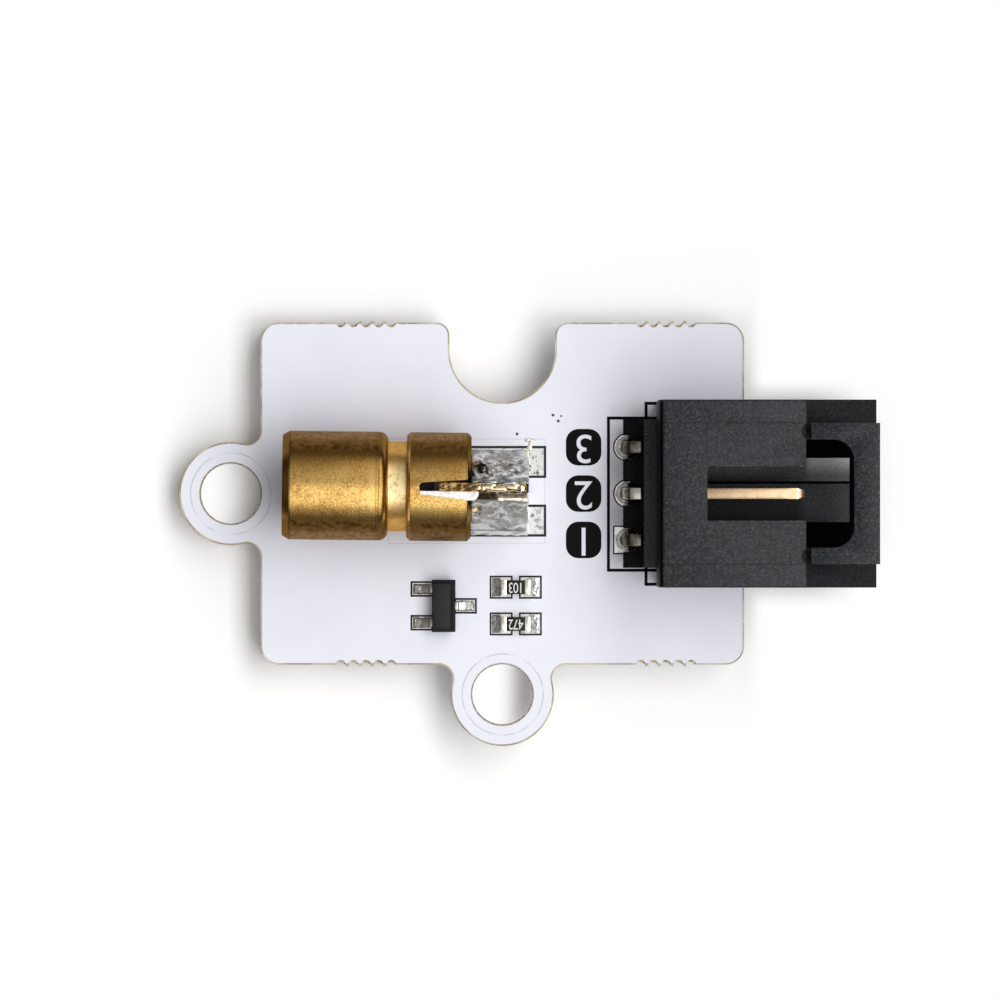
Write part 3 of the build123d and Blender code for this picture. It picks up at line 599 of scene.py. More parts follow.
def plan_boxes(name):
    """The plan box of each separate solid of a node, in millimetres."""
    form = bmesh.new()
    form.from_mesh(nodes[name].data)
    bmesh.ops.remove_doubles(form, verts=form.verts, dist=SAME_PLACE * MM)
    left = set(form.verts)
    boxes = []
    while left:
        group = [left.pop()]
        for vert in group:
            near = {edge.other_vert(vert) for edge in vert.link_edges} & left
            left -= near
            group += near
        xs = [vert.co.x / MM for vert in group]
        ys = [vert.co.y / MM for vert in group]
        boxes.append((min(xs), max(xs), min(ys), max(ys)))
    form.free()
    return boxes


def land_finish(name, node, rim, marks=()):
    """Tinned lands, with a painted black shade line round the edge of each of them."""
    paint = Paint(name)
    x, y = paint.axes("XY")
    cloud = paint.noise(0.22, seed=41, detail=3)
    inside = widest(*(inside_box(x, y, inset(box, rim), soft=0.012) for box in plan_boxes(node)))
    paint.color = paint.mix(cloud.rise(0.53, 0.66), (0.90, 0.90, 0.88), (0.42, 0.41, 0.38))
    if marks:
        wander = paint.noise(0.12, seed=42, detail=2)
        paint.cover(spots(x, y, marks, wander) * 0.8, (0.10, 0.095, 0.085))
    # painted shade: a black rim on each land stands for the shaded clearance gap
    paint.cover(1 - inside, grey(0.003))
    rough = cloud * 0.2 + (1 - inside) * 0.3 + 0.12
    return paint.finish(rough, relief=cloud * 0.006, metal=inside * 0.7)


bank_solder = bank_finish()
pin_joint_solder = pin_joint_finish()
bead_solder = bead_finish()
lead_solder = joint_finish(
    "lead_solder", seed=141, middle_x=LEAD_MIDDLE_X, left=(0.34, 0.31, 0.28), right=(0.60, 0.59, 0.57)
)
chip_solder = joint_finish(
    "chip_solder", seed=151, middle_x=CHIP_MIDDLE_X, left=(0.46, 0.45, 0.44), right=(0.88, 0.87, 0.84)
)
land_tin = tin("land_tin", seed=41, color=(0.84, 0.83, 0.81), rough=0.1)
lead_tin = tin("lead_tin", seed=44, color=(0.60, 0.59, 0.57), shade_until=LEAD_MIDDLE_X)
cap_tin = tin("cap_tin", seed=46, color=(0.90, 0.86, 0.78))
print("solder and tin ready")

# %% [markdown]
# ## Plastics, epoxy and ceramics
# The header is moulded nylon with a fine eroded texture, which scatters the light into small specks.
# The transistor's epoxy is a little duller and has wipe marks. Both are nearly black, so what makes
# them look real is the change in gloss and not the colour. Recesses that light hardly reaches, and faces
# turned from the lamp, get a painted matt black shade.

# %% Plastics, epoxy, ceramic and gold
EPOXY_TOP = (11.10, 12.03, -7.36, -4.95)


def header_plastic():
    """Nylon with mould lines on its deck, a painted highlight with wear on the floor at the mouth, and
    painted black shade in recesses.
    """
    paint = Paint("moulded_nylon", specular_ior_level=0.3)
    x, y, z = paint.axes()
    away = y.abs()
    grain = paint.noise(0.11, seed=51, detail=4, roughness=0.75)
    cloud = paint.noise(1.4, seed=52, detail=2)
    scuff = paint.noise(0.05, seed=53, detail=2, stretch=(1, 8, 1)).rise(0.68, 0.8)
    deck = z.rise(8.1, 8.15)
    paint.color = paint.mix(grain.rise(0.45, 0.64), (0.0005, 0.0005, 0.001), (0.044, 0.045, 0.057))
    paint.cover(cloud.rise(0.4, 0.7) * 0.35, (0.010, 0.012, 0.020))
    paint.cover(scuff * 0.3, grey(0.08))
    witness = away.band(3.83, 3.87, 0.01) * deck * (1 - x.rise(31.3, 31.4))
    paint.cover(witness * 0.7, (0.001, 0.001, 0.002))
    # painted highlight and moulding flash along the slot's edges
    flash = away.band(1.47, 1.51, 0.01) * deck * grain.rise(0.5, 0.6) * x.rise(26.0, 26.1)
    paint.cover(flash * 0.8, (0.16, 0.11, 0.06))
    # painted highlight with wear on the floor at the mouth, lightest towards its +y side
    mouth_floor = y.band(0.7, 1.96, 0.03) * x.rise(31.3, 31.8) * z.band(2.2, 2.5, 0.02)
    wear_and_sheen = (y + (grain - 0.5) * 0.5).rise(0.9, 2.1) * 0.9 + 0.15
    paint.cover(mouth_floor * wear_and_sheen, (0.31, 0.30, 0.31))

    # painted shade: matt black on the socket floor, the shelf, the back slope, the cheeks and the track
    # under the pin
    in_socket = x.rise(25.1, 25.2)
    socket_floor = z.band(1.97, 2.24, 0.02) * in_socket * (1 - away.rise(4.08, 4.12))
    shelf = z.band(3.7, 3.83, 0.03) * (1 - x.rise(22.6, 22.64)) * 0.8
    back = x.band(23.2, 23.62, 0.02) * z.rise(4.8, 7.9)
    cheek = z.band(7.0, 7.2, 0.02) * x.rise(31.4, 31.45) * 0.6
    under_pin = z.band(2.25, 2.36, 0.02) * (1 - y.rise(0.0, 0.3))
    under_pin = under_pin * (1 - x.rise(31.0, 31.6)) * in_socket * 0.5
    paint.dull(widest(socket_floor, shelf, back, cheek, under_pin), (0.0015, 0.0015, 0.002))
    return paint.finish(grain * 0.3 + 0.3, relief=grain * 0.014 + cloud * 0.02 - witness * 0.01)


def epoxy():
    """The transistor's body, with painted shade on its sloping sides, which stay darker than its top."""
    paint = Paint("black_epoxy", specular_ior_level=0.3)
    x, y = paint.axes("XY")
    grain = paint.noise(0.06, seed=61, detail=4, roughness=0.65)
    wipe = paint.noise(0.25, seed=62, detail=2, stretch=(1, 4, 1))
    slope_shade = 1 - inside_box(x, y, EPOXY_TOP, soft=0.03)
    paint.color = paint.mix(grain.rise(0.4, 0.7), (0.004, 0.004, 0.005), (0.030, 0.029, 0.032))
    # painted shade on the sloping sides
    paint.cover(slope_shade * 0.9, grey(0.002))
    return paint.finish(grain * 0.25 + wipe * 0.12 + slope_shade * 0.25 + 0.36, relief=grain * 0.016)


def glaze():
    paint = Paint("black_glaze", specular_ior_level=0.3)
    grain = paint.noise(0.05, seed=64, detail=3)
    paint.color = paint.mix(grain.rise(0.4, 0.7), grey(0.002), grey(0.010))
    return paint.finish(grain * 0.2 + 0.45, relief=grain * 0.003)


def ceramic():
    """Alumina with painted shade: dark from just above its foot, and black where the glaze begins."""
    paint = Paint("white_alumina")
    [z] = paint.axes("Z")
    grain = paint.noise(0.06, seed=66, detail=3)
    paint.color = paint.mix(grain.rise(0.35, 0.7), (0.52, 0.50, 0.46), (0.72, 0.70, 0.66))
    # painted shade on the body's sides, near-black under the glaze
    paint.cover(z.rise(1.66, 1.68), (0.08, 0.075, 0.06))
    paint.cover(z.rise(1.95, 2.0), grey(0.004))
    return paint.finish(grain * 0.2 + 0.5, relief=grain * 0.006)


def plated_pin():
    """Gold flash on the mating end, tin on the tail. The change is inside the moulding."""
    paint = Paint("plated_pin", metallic=1.0)
    x, y = paint.axes("XY")
    cloud = paint.noise(0.5, seed=71, detail=3)
    drawn = paint.noise(0.04, seed=72, detail=3, stretch=(30, 1, 1))
    gold = paint.mix(cloud.rise(0.35, 0.7), (0.43, 0.31, 0.195), (0.39, 0.28, 0.17))
    # painted highlight on the edge of the tip's chamfer
    tip_highlight = x.band(31.0, 31.05, 0.012)
    gold = paint.mix(tip_highlight * 0.7, gold, (0.85, 0.78, 0.62))
    paint.color = paint.mix(cloud.rise(0.4, 0.65), (0.22, 0.20, 0.17), (0.09, 0.07, 0.05))
    middle_pin = y.band(-0.6, 0.6, 0.05)
    paint.cover(middle_pin * 0.7, (0.66, 0.63, 0.55))
    # painted shade at the bend
    bend_shade = x.band(PIN_ROW_X + 0.02, PIN_ROW_X + 0.12, 0.02)
    paint.cover(bend_shade * 0.85, (0.03, 0.022, 0.012))
    # painted shade: near-black where the pin runs under the housing
    under_housing = x.rise(22.42, 22.46)
    paint.cover(under_housing, grey(0.003))
    mating = x.rise(24.0, 24.2)
    paint.cover(mating, gold)
    return paint.finish(cloud * 0.12 + drawn * 0.1 + 0.16, relief=drawn * 0.0006 + cloud * 0.002)


black_nylon = header_plastic()
black_epoxy = epoxy()
black_glaze = glaze()
white_alumina = ceramic()
pin_plating = plated_pin()
print("plastics ready")

# %% [markdown]
# ## The driver board and the hidden optics
# The driver board stands on edge in the barrel's slot, so from above only its gold-plated edge shows.
# Inside the barrel sit the copper block with the laser chip, the lens and its ring. They show through
# the mouth, so they have finishes too.

# %% Driver board, copper, lens and ring
DRIVER_CHIP_X = 14.5


def edge_y(x):
    """Middle of the driver board's edge at a place along the board."""
    return BARREL_MIDDLE.y + math.tan(BARREL_YAW) * (x - BARREL_MIDDLE.x)


def driver_laminate():
    """Laminate painted nearly black-brown as shade, with a gilt upper edge along its rear part."""
    paint = Paint("driver_laminate", specular_ior_level=0.15)
    x, z = paint.axes("XZ")
    cloud = paint.noise(0.35, seed=81, detail=3)
    fibres = paint.noise(0.05, seed=82, detail=3, stretch=(5, 1, 5))
    # painted shade: the laminate is coloured nearly black-brown
    paint.color = paint.mix(fibres.rise(0.4, 0.65), (0.010, 0.006, 0.002), (0.040, 0.026, 0.010))
    edge = z.rise(6.96, 7.02) * x.rise(11.42, 11.5)
    paint.cover(edge, paint.mix(cloud.rise(0.42, 0.6), (0.14, 0.07, 0.015), (0.62, 0.40, 0.13)))
    return paint.finish(cloud * 0.2 + 0.18, relief=fibres * 0.004 + cloud * 0.02, metal=edge)


def driver_chip():
    """The driver's own chip under brown flux, with a thread of solder along its outer face."""
    paint = Paint("burnt_chip")
    paint.move((DRIVER_CHIP_X, edge_y(DRIVER_CHIP_X), 0), (0, 0, BARREL_YAW))
    y, z = paint.axes("YZ")
    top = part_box("driver_resistor_body")[1].z / MM
    cloud = paint.noise(0.2, seed=161, detail=3, stretch=(2.5, 1, 1))
    thread = (1 - y.rise(-0.60, -0.54)) * (z + cloud * 0.1).rise(top - 0.2, top - 0.08)
    paint.color = paint.mix(cloud.rise(0.4, 0.62), (0.30, 0.23, 0.15), (0.13, 0.095, 0.06))
    paint.cover(y.rise(-0.30, -0.26) * 0.8, (0.10, 0.055, 0.015))
    paint.cover(thread, (0.90, 0.84, 0.70))
    return paint.finish(cloud * 0.2 + 0.3, relief=cloud * 0.01, metal=thread * 0.8)


def copper():
    paint = Paint("copper_block", metallic=1.0)
    cloud = paint.noise(0.3, seed=84, detail=3)
    paint.color = paint.mix(cloud.rise(0.3, 0.7), (0.80, 0.42, 0.25), (0.55, 0.26, 0.14))
    return paint.finish(cloud * 0.2 + 0.2, relief=cloud * 0.004)


def chip():
    paint = Paint("laser_chip", metallic=0.6)
    cloud = paint.noise(0.05, seed=86, detail=2)
    paint.color = paint.mix(cloud, (0.10, 0.10, 0.12), (0.22, 0.22, 0.25))
    return paint.finish(cloud * 0.1 + 0.12)


def lens_glass():
    paint = Paint("coated_lens", (0.96, 0.97, 1.0), roughness=0.03, ior=1.5, transmission_weight=1.0)
    dust = paint.noise(0.08, seed=88, detail=2).rise(0.68, 0.8)
    return paint.finish(dust * 0.2 + 0.03)


burnt_chip = driver_chip()
for name, material in (
    ("driver_board", driver_laminate()),
    ("diode_heatsink", copper()),
    ("laser_diode", chip()),
    ("collimating_lens", lens_glass()),
    ("header_pads", land_tin),
    ("laser_pads", land_finish("laser_lands", "laser_pads", rim=0.06, marks=PAD_MARKS)),
    ("transistor_pads", land_finish("transistor_lands", "transistor_pads", rim=0.03)),
    ("resistor_pads", land_finish("resistor_lands", "resistor_pads", rim=0.022)),
):
    nodes[name].data.materials[0] = material
print("inner parts and lands dressed")

# %% [markdown]
# ## Softened edges
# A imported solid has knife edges, and real edges catch light. A copy of the solid is cleaned into whole
# faces, its corners get a small bevel, and the copy then stands for the solid. Bevel widths differ:
# moulded parts are rounder than plated chips.

# %% Soften the moulded and plated parts
FLAT_ANGLE = 0.4
BEVEL_ANGLE = 30
SHARP_ANGLE = 40


def clean_form(name):
    """A CAD node's mesh with its loose triangles joined into whole faces."""
    form = bmesh.new()
    form.from_mesh(nodes[name].data)
    bmesh.ops.remove_doubles(form, verts=form.verts, dist=SAME_PLACE * MM)
    flat = math.radians(FLAT_ANGLE)
    bmesh.ops.dissolve_limit(form, angle_limit=flat, verts=form.verts, edges=form.edges)
    return form


def mesh_of(form, name):
    """A mesh with a form's faces. The form is freed."""
    mesh = bpy.data.meshes.new(name + "_form")
    form.to_mesh(mesh)
    form.free()
    return mesh


def evaluated(carrier):
    """The plain mesh of an object with its modifiers. The object is removed."""
    graph = bpy.context.evaluated_depsgraph_get()
    mesh = bpy.data.meshes.new_from_object(carrier.evaluated_get(graph), depsgraph=graph)
    bpy.data.objects.remove(carrier)
    return mesh


def baked(form_mesh, modifiers):
    """The mesh after its modifiers, each given as (type, settings)."""
    carrier = linked("carrier", form_mesh)
    for kind, settings in modifiers:
        modifier = carrier.modifiers.new(kind.lower(), kind)
        for setting, value in settings.items():
            setattr(modifier, setting, value)
    return evaluated(carrier)


def smooth(mesh, sharp=None):
    """Shades a mesh smooth, except over edges sharper than an angle in degrees."""
    mesh.polygons.foreach_set("use_smooth", [True] * len(mesh.polygons))
    if sharp is not None:
        mesh.set_sharp_from_angle(angle=math.radians(sharp))


def add_piece(name, mesh, material, stands_for=()):
    """Links a finished mesh as a piece that rides on the one body."""
    piece = linked(name, mesh)
    mesh.materials.clear()
    mesh.materials.append(material)
    if stands_for:
        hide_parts(*stands_for)
    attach(piece, "root")
    print(name, "faces", len(mesh.polygons))


def soften(name, material, width):
    """A bevelled copy that stands for the solid of the same name."""
    bevel = {
        "width": width * MM,
        "segments": 2,
        "limit_method": "ANGLE",
        "angle_limit": math.radians(BEVEL_ANGLE),
        "use_clamp_overlap": True,
        "harden_normals": False,
    }
    mesh = baked(mesh_of(clean_form(name), name), [("BEVEL", bevel)])
    smooth(mesh, SHARP_ANGLE)
    add_piece(name + "_dressed", mesh, material, [name])


soften("header_housing", black_nylon, width=0.045)
soften("transistor_body", black_epoxy, width=0.05)
soften("lens_ring", black_nylon, width=0.03)
for index in (1, 2, 3):
    soften(f"header_pin_{index}", pin_plating, width=0.03)
    soften(f"transistor_lead_{index}", lead_tin, width=0.02)
for index in (1, 2):
    soften(f"resistor_{index}_body", white_alumina, width=0.02)
    soften(f"resistor_{index}_caps", cap_tin, width=0.03)
    soften(f"resistor_{index}_coat", black_glaze, width=0.012)
soften("driver_resistor_body", burnt_chip, width=0.02)
soften("driver_resistor_caps", burnt_chip, width=0.03)

# %% [markdown]
# ## The turned barrel
# On the real head this is bar stock turned on a lathe: one outline spun about the axis, then a slot
# sawn through the rear end. The mesh is made in the same order, with enough steps round the axis for a
# smooth highlight. The outline repeats the CAD profile, and its corners are arcs.

# %% Barrel
BARREL_RADIUS = 2.97
BARREL_SIDES = 160
MOUTH_CHAMFER = 0.22
REAR_CHAMFER = 0.2
GROOVE_RADIUS = 2.45
BORE_RADIUS = 1.7
LENS_SEAT_RADIUS = 2.12
LENS_SEAT_END = 2.65
RING_SEAT_RADIUS = 2.37
RING_SEAT_END = 0.9
BARREL_SHARP_ANGLE = 28
SLOT_START = BARREL_LENGTH - 2.81
CUTTER_SIDE = 4.0
CUTTER_START = BARREL_LENGTH + 0.002
CUTTER_END = BARREL_LENGTH + 3.0
CUTTER_HALF_HEIGHT = 3.4


def corner_arc(before, corner, after, radius, steps=7):
    """Points of the arc that rounds one corner of a flat outline."""
    corner = Vector(corner)
    back = (Vector(before) - corner).normalized()
    on = (Vector(after) - corner).normalized()
    half = back.angle(on) / 2
    centre = corner + (back + on).normalized() * radius / math.sin(half)
    start = corner + back * radius / math.tan(half) - centre
    end = corner + on * radius / math.tan(half) - centre
    sweep = start.angle_signed(end)
    spin = [Matrix.Rotation(-sweep * step / steps, 2) @ start for step in range(steps + 1)]
    return [tuple(centre + point) for point in spin]


def rounded_outline(corners):
    """A closed outline of corners (x, y, radius). A corner without a radius stays sharp."""
    outline = []
    for index, (x, y, radius) in enumerate(corners):
        if radius:
            before = corners[index - 1][:2]
            after = corners[(index + 1) % len(corners)][:2]
            outline += corner_arc(before, (x, y), after, radius)
        else:
            outline.append((x, y))
    return outline


def closed_mesh(name, verts, faces):
    """A mesh whose faces all look outwards."""
    mesh = bpy.data.meshes.new(name)
    mesh.from_pydata(verts, [], faces)
    form = bmesh.new()
    form.from_mesh(mesh)
    bmesh.ops.recalc_face_normals(form, faces=form.faces)
    form.to_mesh(mesh)
    form.free()
    return mesh


def spun(name, outline, sides):
    """Closed mesh made by spinning a closed (x, radius) outline about the X axis."""
    count = len(outline)
    verts = []
    faces = []
    for side in range(sides):
        angle = 2 * math.pi * side / sides
        verts += [(x, r * math.cos(angle), r * math.sin(angle)) for x, r in outline]
        here = side * count
        there = (side + 1) % sides * count
        for k in range(count):
            n = (k + 1) % count
            faces.append((here + k, there + k, there + n, here + n))
    return closed_mesh(name, verts, faces)


def prism(name, outline, low, high):
    """Closed prism over a flat outline."""
    count = len(outline)
    verts = [(x, y, low) for x, y in outline] + [(x, y, high) for x, y in outline]
    faces = [tuple(range(count)), tuple(range(count, 2 * count))]
    faces += [(k, (k + 1) % count, count + (k + 1) % count, count + k) for k in range(count)]
    return closed_mesh(name, verts, faces)


barrel_corners = [
    (0.0, BARREL_RADIUS - MOUTH_CHAMFER, 0.03),
    (MOUTH_CHAMFER_END, BARREL_RADIUS, 0.06),
    (GROOVE_START, BARREL_RADIUS, 0.5),
    (GROOVE_START, GROOVE_RADIUS, 0.05),
    (GROOVE_END, GROOVE_RADIUS, 0.05),
    (GROOVE_END, BARREL_RADIUS - REAR_CHAMFER, 0.03),
    (GROOVE_END + REAR_CHAMFER, BARREL_RADIUS, 0.04),
    (BARREL_LENGTH - REAR_CHAMFER, BARREL_RADIUS, 0.12),
    (BARREL_LENGTH, BARREL_RADIUS - REAR_CHAMFER, 0.06),
    (BARREL_LENGTH, BORE_RADIUS, None),
    (LENS_SEAT_END, BORE_RADIUS, None),
    (LENS_SEAT_END, LENS_SEAT_RADIUS, None),
    (RING_SEAT_END, LENS_SEAT_RADIUS, None),
    (RING_SEAT_END, RING_SEAT_RADIUS, None),
    (0.0, RING_SEAT_RADIUS, 0.04),
]
slot_corners = [
    (SLOT_START, -0.45, 0.22),
    (BARREL_LENGTH, -0.73, 0.35),
    (CUTTER_START, -CUTTER_SIDE, None),
    (CUTTER_END, -CUTTER_SIDE, None),
    (CUTTER_END, CUTTER_SIDE, None),
    (CUTTER_START, CUTTER_SIDE, None),
    (BARREL_LENGTH, 0.41, 0.35),
    (SLOT_START, 0.22, 0.22),
]
barrel_mesh = spun("barrel_form", rounded_outline(barrel_corners), BARREL_SIDES)
slot_mesh = prism("slot_form", rounded_outline(slot_corners), -CUTTER_HALF_HEIGHT, CUTTER_HALF_HEIGHT)
cutter = linked("slot_cutter", slot_mesh)
sawn = {"operation": "DIFFERENCE", "object": cutter, "solver": "EXACT"}
barrel_mesh = baked(barrel_mesh, [("BOOLEAN", sawn)])
bpy.data.objects.remove(cutter)
barrel_mesh.transform(
    TO_METRES
    @ Matrix.Translation(BARREL_MIDDLE)
    @ Matrix.Rotation(BARREL_YAW, 4, "Z")
    @ Matrix.Translation((-BARREL_LENGTH / 2, 0, 0))
)
smooth(barrel_mesh, BARREL_SHARP_ANGLE)
add_piece("laser_barrel_dressed", barrel_mesh, turned_brass, ["laser_barrel"])

# %% [markdown]
# ## Solder
# Solder freezes as a liquid: rounded, a little lumpy, dented where the iron left it. Each CAD solid is
# remeshed into small even faces, smoothed so that its edges run together, and then pushed in and out by
# a slow noise. Named dents add the hollows that this head shows.

# %% Solder mounds
UPPER_BANK_DENTS = (
    (13.6, 1.5, 4.0, 0.5, 0.5),
    (14.9, 1.9, 3.4, 0.35, 0.16),
    (15.7, 1.5, 3.6, 0.3, 0.14),
)
LOWER_BANK_DENTS = (
    (13.5, -1.0, 3.6, 0.4, 0.35),
    (14.7, -1.2, 3.2, 0.35, 0.14),
)
LUMP_OCTAVES = 2
FACING_UP = 0.5


def remeshed(mesh, voxel, rounds):
    """Small even faces of the given size in millimetres, smoothed in a number of rounds."""
    remesh = {"mode": "VOXEL", "voxel_size": voxel * MM}
    return baked(mesh, [("REMESH", remesh), ("SMOOTH", {"factor": 0.5, "iterations": rounds})])


def soldered(name, material, voxel, lump, lump_size, rounds, dents=(), tilt=0.0):
    """Organic copy of a solder node. Dents are (x, y, z, radius, depth) in millimetres."""
    mesh = remeshed(mesh_of(clean_form(name), name), voxel, rounds)
    form = bmesh.new()
    form.from_mesh(mesh)
    form.normal_update()
    low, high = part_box(name)
    for vert in form.verts:
        place = vert.co / MM
        push = noise.fractal(place / lump_size, 1.0, 2.0, LUMP_OCTAVES) * lump
        for x, y, z, radius, depth in dents:
            far = (place - Vector((x, y, z))).length / radius
            push -= depth * math.exp(-far * far * 2)
        moved = vert.co + vert.normal * push * MM
        if vert.normal.z > FACING_UP:
            moved.z += (vert.co.y - high.y) * tilt
        vert.co = Vector([min(max(moved[k], low[k]), high[k]) for k in range(3)])
    form.to_mesh(mesh)
    form.free()
    smooth(mesh)
    add_piece(name + "_dressed", mesh, material, [name])


for name, dents, lump in (
    ("laser_solder_left", UPPER_BANK_DENTS, 0.07),
    ("laser_solder_right", LOWER_BANK_DENTS, 0.06),
):
    soldered(name, bank_solder, voxel=0.05, lump=lump, lump_size=0.6, rounds=8, dents=dents)
soldered("slot_solder", bead_solder, voxel=0.03, lump=0.015, lump_size=0.4, rounds=4, tilt=0.16)
soldered("driver_resistor_solder", bead_solder, voxel=0.02, lump=0.02, lump_size=0.15, rounds=3)
soldered("transistor_solder", lead_solder, voxel=0.02, lump=0.025, lump_size=0.2, rounds=2)
soldered("resistor_solder", chip_solder, voxel=0.025, lump=0.03, lump_size=0.2, rounds=3)
soldered("header_solder", pin_joint_solder, voxel=0.03, lump=0.05, lump_size=0.3, rounds=4)

# %% [markdown]
# ## Gilt ridge on the driver board
# Solder also ran along the driver board's gold-plated upper edge and froze there as a glassy, lumpy
# ridge. It is built as a chain of overlapping drops that a voxel remesh melts into one skin. A rounded
# shiny ridge mirrors the lamp on its top and the dark room on its flanks, which gives the bright core
# between two dark lines by itself. A small splash of solder on the board is melted in the same way.

# %% Ridge of gilt solder and splash
DRIVER_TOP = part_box("driver_board")[1].z / MM
RIDGE_SINK = 0.02
RIDGE_SWAY = 0.04
RIDGE_BENDS = 5
RIDGE_DROPS = (
    (11.66, 0.22, 0.20, 0.06),
    (12.02, 0.16, 0.10, 0.05),
    (12.62, 0.20, 0.10, 0.07),
    (13.00, 0.30, 0.12, 0.08),
    (13.42, 0.40, 0.14, 0.09),
    (13.85, 0.16, 0.21, 0.12),
    (14.20, 0.50, 0.20, 0.14),
    (14.75, 0.70, 0.21, 0.15),
    (15.35, 0.70, 0.22, 0.16),
    (15.85, 0.35, 0.22, 0.15),
)
SPLASH_DROPS = (
    (16.30, 2.93, 0.20, 0.10, 0.06),
    (16.48, 2.86, 0.15, 0.12, 0.07),
    (16.63, 2.95, 0.12, 0.05, 0.045),
    (16.44, 2.70, 0.13, 0.17, 0.06),
    (16.37, 2.48, 0.17, 0.14, 0.07),
    (16.15, 2.42, 0.22, 0.08, 0.05),
)


def gilt():
    """Glassy gold-coloured solder with burnt patches, more of them towards the barrel."""
    paint = Paint("gilt_solder", metallic=1.0)
    [x] = paint.axes("X")
    cloud = paint.noise(0.3, seed=111, detail=3)
    burnt = (paint.noise(0.3, seed=112, detail=3) + (1 - x.rise(12.8, 13.9)) * 0.12).rise(0.5, 0.6)
    paint.color = paint.mix(cloud.rise(0.4, 0.6), (0.95, 0.74, 0.42), (0.97, 0.90, 0.74))
    paint.cover(burnt * 0.9, (0.10, 0.045, 0.010))
    return paint.finish(cloud * 0.12 + 0.08, relief=cloud * 0.012)


def splash_finish():
    """Cream solder with a brown rim of flux where it meets the board."""
    paint = Paint("splash_solder")
    [z] = paint.axes("Z")
    cloud = paint.noise(0.12, seed=171, detail=2)
    rim = 1 - (z + cloud * 0.02).rise(BOARD_TOP + 0.02, BOARD_TOP + 0.045)
    paint.color = paint.mix(cloud.rise(0.45, 0.7), (0.90, 0.86, 0.76), (0.62, 0.52, 0.36))
    paint.cover(rim, (0.22, 0.12, 0.04))
    return paint.finish(cloud * 0.2 + 0.25, metal=0.4)


def melted(name, drops, material, voxel):
    """One skin over drops given as (x, y, z, length, width, height), half sizes in millimetres."""
    form = bmesh.new()
    for x, y, z, length, width, height in drops:
        place = Matrix.Translation((x, y, z)) @ Matrix.Diagonal((length, width, height, 1))
        bmesh.ops.create_icosphere(form, subdivisions=3, radius=1.0, matrix=TO_METRES @ place)
    mesh = remeshed(mesh_of(form, name), voxel, rounds=3)
    smooth(mesh)
    add_piece(name, mesh, material)


ridge = []
for x, *half_sizes in RIDGE_DROPS:
    y = edge_y(x) + RIDGE_SWAY * math.sin(x * RIDGE_BENDS)
    ridge.append((x, y, DRIVER_TOP - RIDGE_SINK, *half_sizes))
splash = [(x, y, BOARD_TOP, *half_sizes) for x, y, *half_sizes in SPLASH_DROPS]
melted("gilt_ridge", ridge, gilt(), voxel=0.02)
melted("solder_splash", splash, splash_finish(), voxel=0.015)

# %% [markdown]
# ## Geometry Nodes tools
# What repeats or follows a rule is grown by a node tree with named sizes, and then turned into a plain
# mesh. The trees are written with the same formulas as the finishes.

# %% Growing pieces with node trees
class Growth(Formula):
    """One Geometry Nodes tree with named inputs."""

    def __init__(self, name, sizes):
        super().__init__(bpy.data.node_groups.new(name, "GeometryNodeTree"))
        sockets = self.tree.interface
        sockets.new_socket("Geometry", in_out="OUTPUT", socket_type="NodeSocketGeometry")
        kinds = {float: "NodeSocketFloat", int: "NodeSocketInt", str: "NodeSocketString"}
        self.names = {}
        for label, value in sizes.items():
            made = sockets.new_socket(label, in_out="INPUT", socket_type=kinds[type(value)])
            made.default_value = value
            self.names[label] = made.identifier
        made = sockets.new_socket("Material", in_out="INPUT", socket_type="NodeSocketMaterial")
        self.names["Material"] = made.identifier
        given = self.tree.nodes.new("NodeGroupInput").outputs
        self.inputs = {label: Amount(self, given[label]) for label in self.names}

    def take(self, *labels):
        """Named inputs as the first sockets of a node."""
        return dict(enumerate(self.inputs[label] for label in labels))

    def finish(self, geometry):
        whole = self.node("GeometryNodeRealizeInstances", inputs={0: geometry})
        dressed = self.node("GeometryNodeSetMaterial", inputs={0: whole, 2: self.inputs["Material"]})
        self.connect(dressed, self.tree.nodes.new("NodeGroupOutput").inputs[0])

    def grow(self, material, place, **sizes):
        """The plain mesh that the tree makes with these sizes, at a place in millimetres."""
        carrier = linked("carrier", bpy.data.meshes.new("carrier"))
        modifier = carrier.modifiers.new("growth", "NODES")
        modifier.node_group = self.tree
        modifier[self.names["Material"]] = material
        for label, value in sizes.items():
            modifier[self.names[label]] = value
        mesh = evaluated(carrier)
        mesh.transform(TO_METRES @ Matrix.Translation(place))
        return mesh


print("growth tools ready")

# %% [markdown]
# ## Printed legend
# The legend is black ink on the lacquer: a frame behind the header, a wider one under it, and a rounded
# badge beside each pin. On this part the badges carry plain pin numbers, left bare in the ink and
# turned to be read from the header's side. Ink has a thickness too, so each print is a very thin closed
# solid.

# %% Legend ink
INK_THICKNESS = 0.012
LINE_WIDTH = 0.23
BADGE_X = BOARD_MID_X + 4.46
BADGE_SIZES = {"Width": 1.94, "Height": 2.0, "Corner": 0.68, "Glyph": 2.25, "Ink": INK_THICKNESS}
CORNER_STEPS = 6
WELD_DISTANCE = 0.0002
HALF_TURN = Euler((0, 0, math.pi))
RECTANGLE = "GeometryNodeCurvePrimitiveQuadrilateral"


def ink(name, color, seed):
    """Matt ink, worn in ragged patches."""
    paint = Paint(name, specular_ior_level=0.12)
    ragged = paint.noise(0.06, seed=seed, detail=2)
    worn = tuple(part * 0.85 + 0.004 for part in color)
    paint.color = paint.mix(ragged.rise(0.45, 0.7), color, worn)
    return paint.finish(ragged * 0.2 + 0.6, relief=ragged * 0.002)


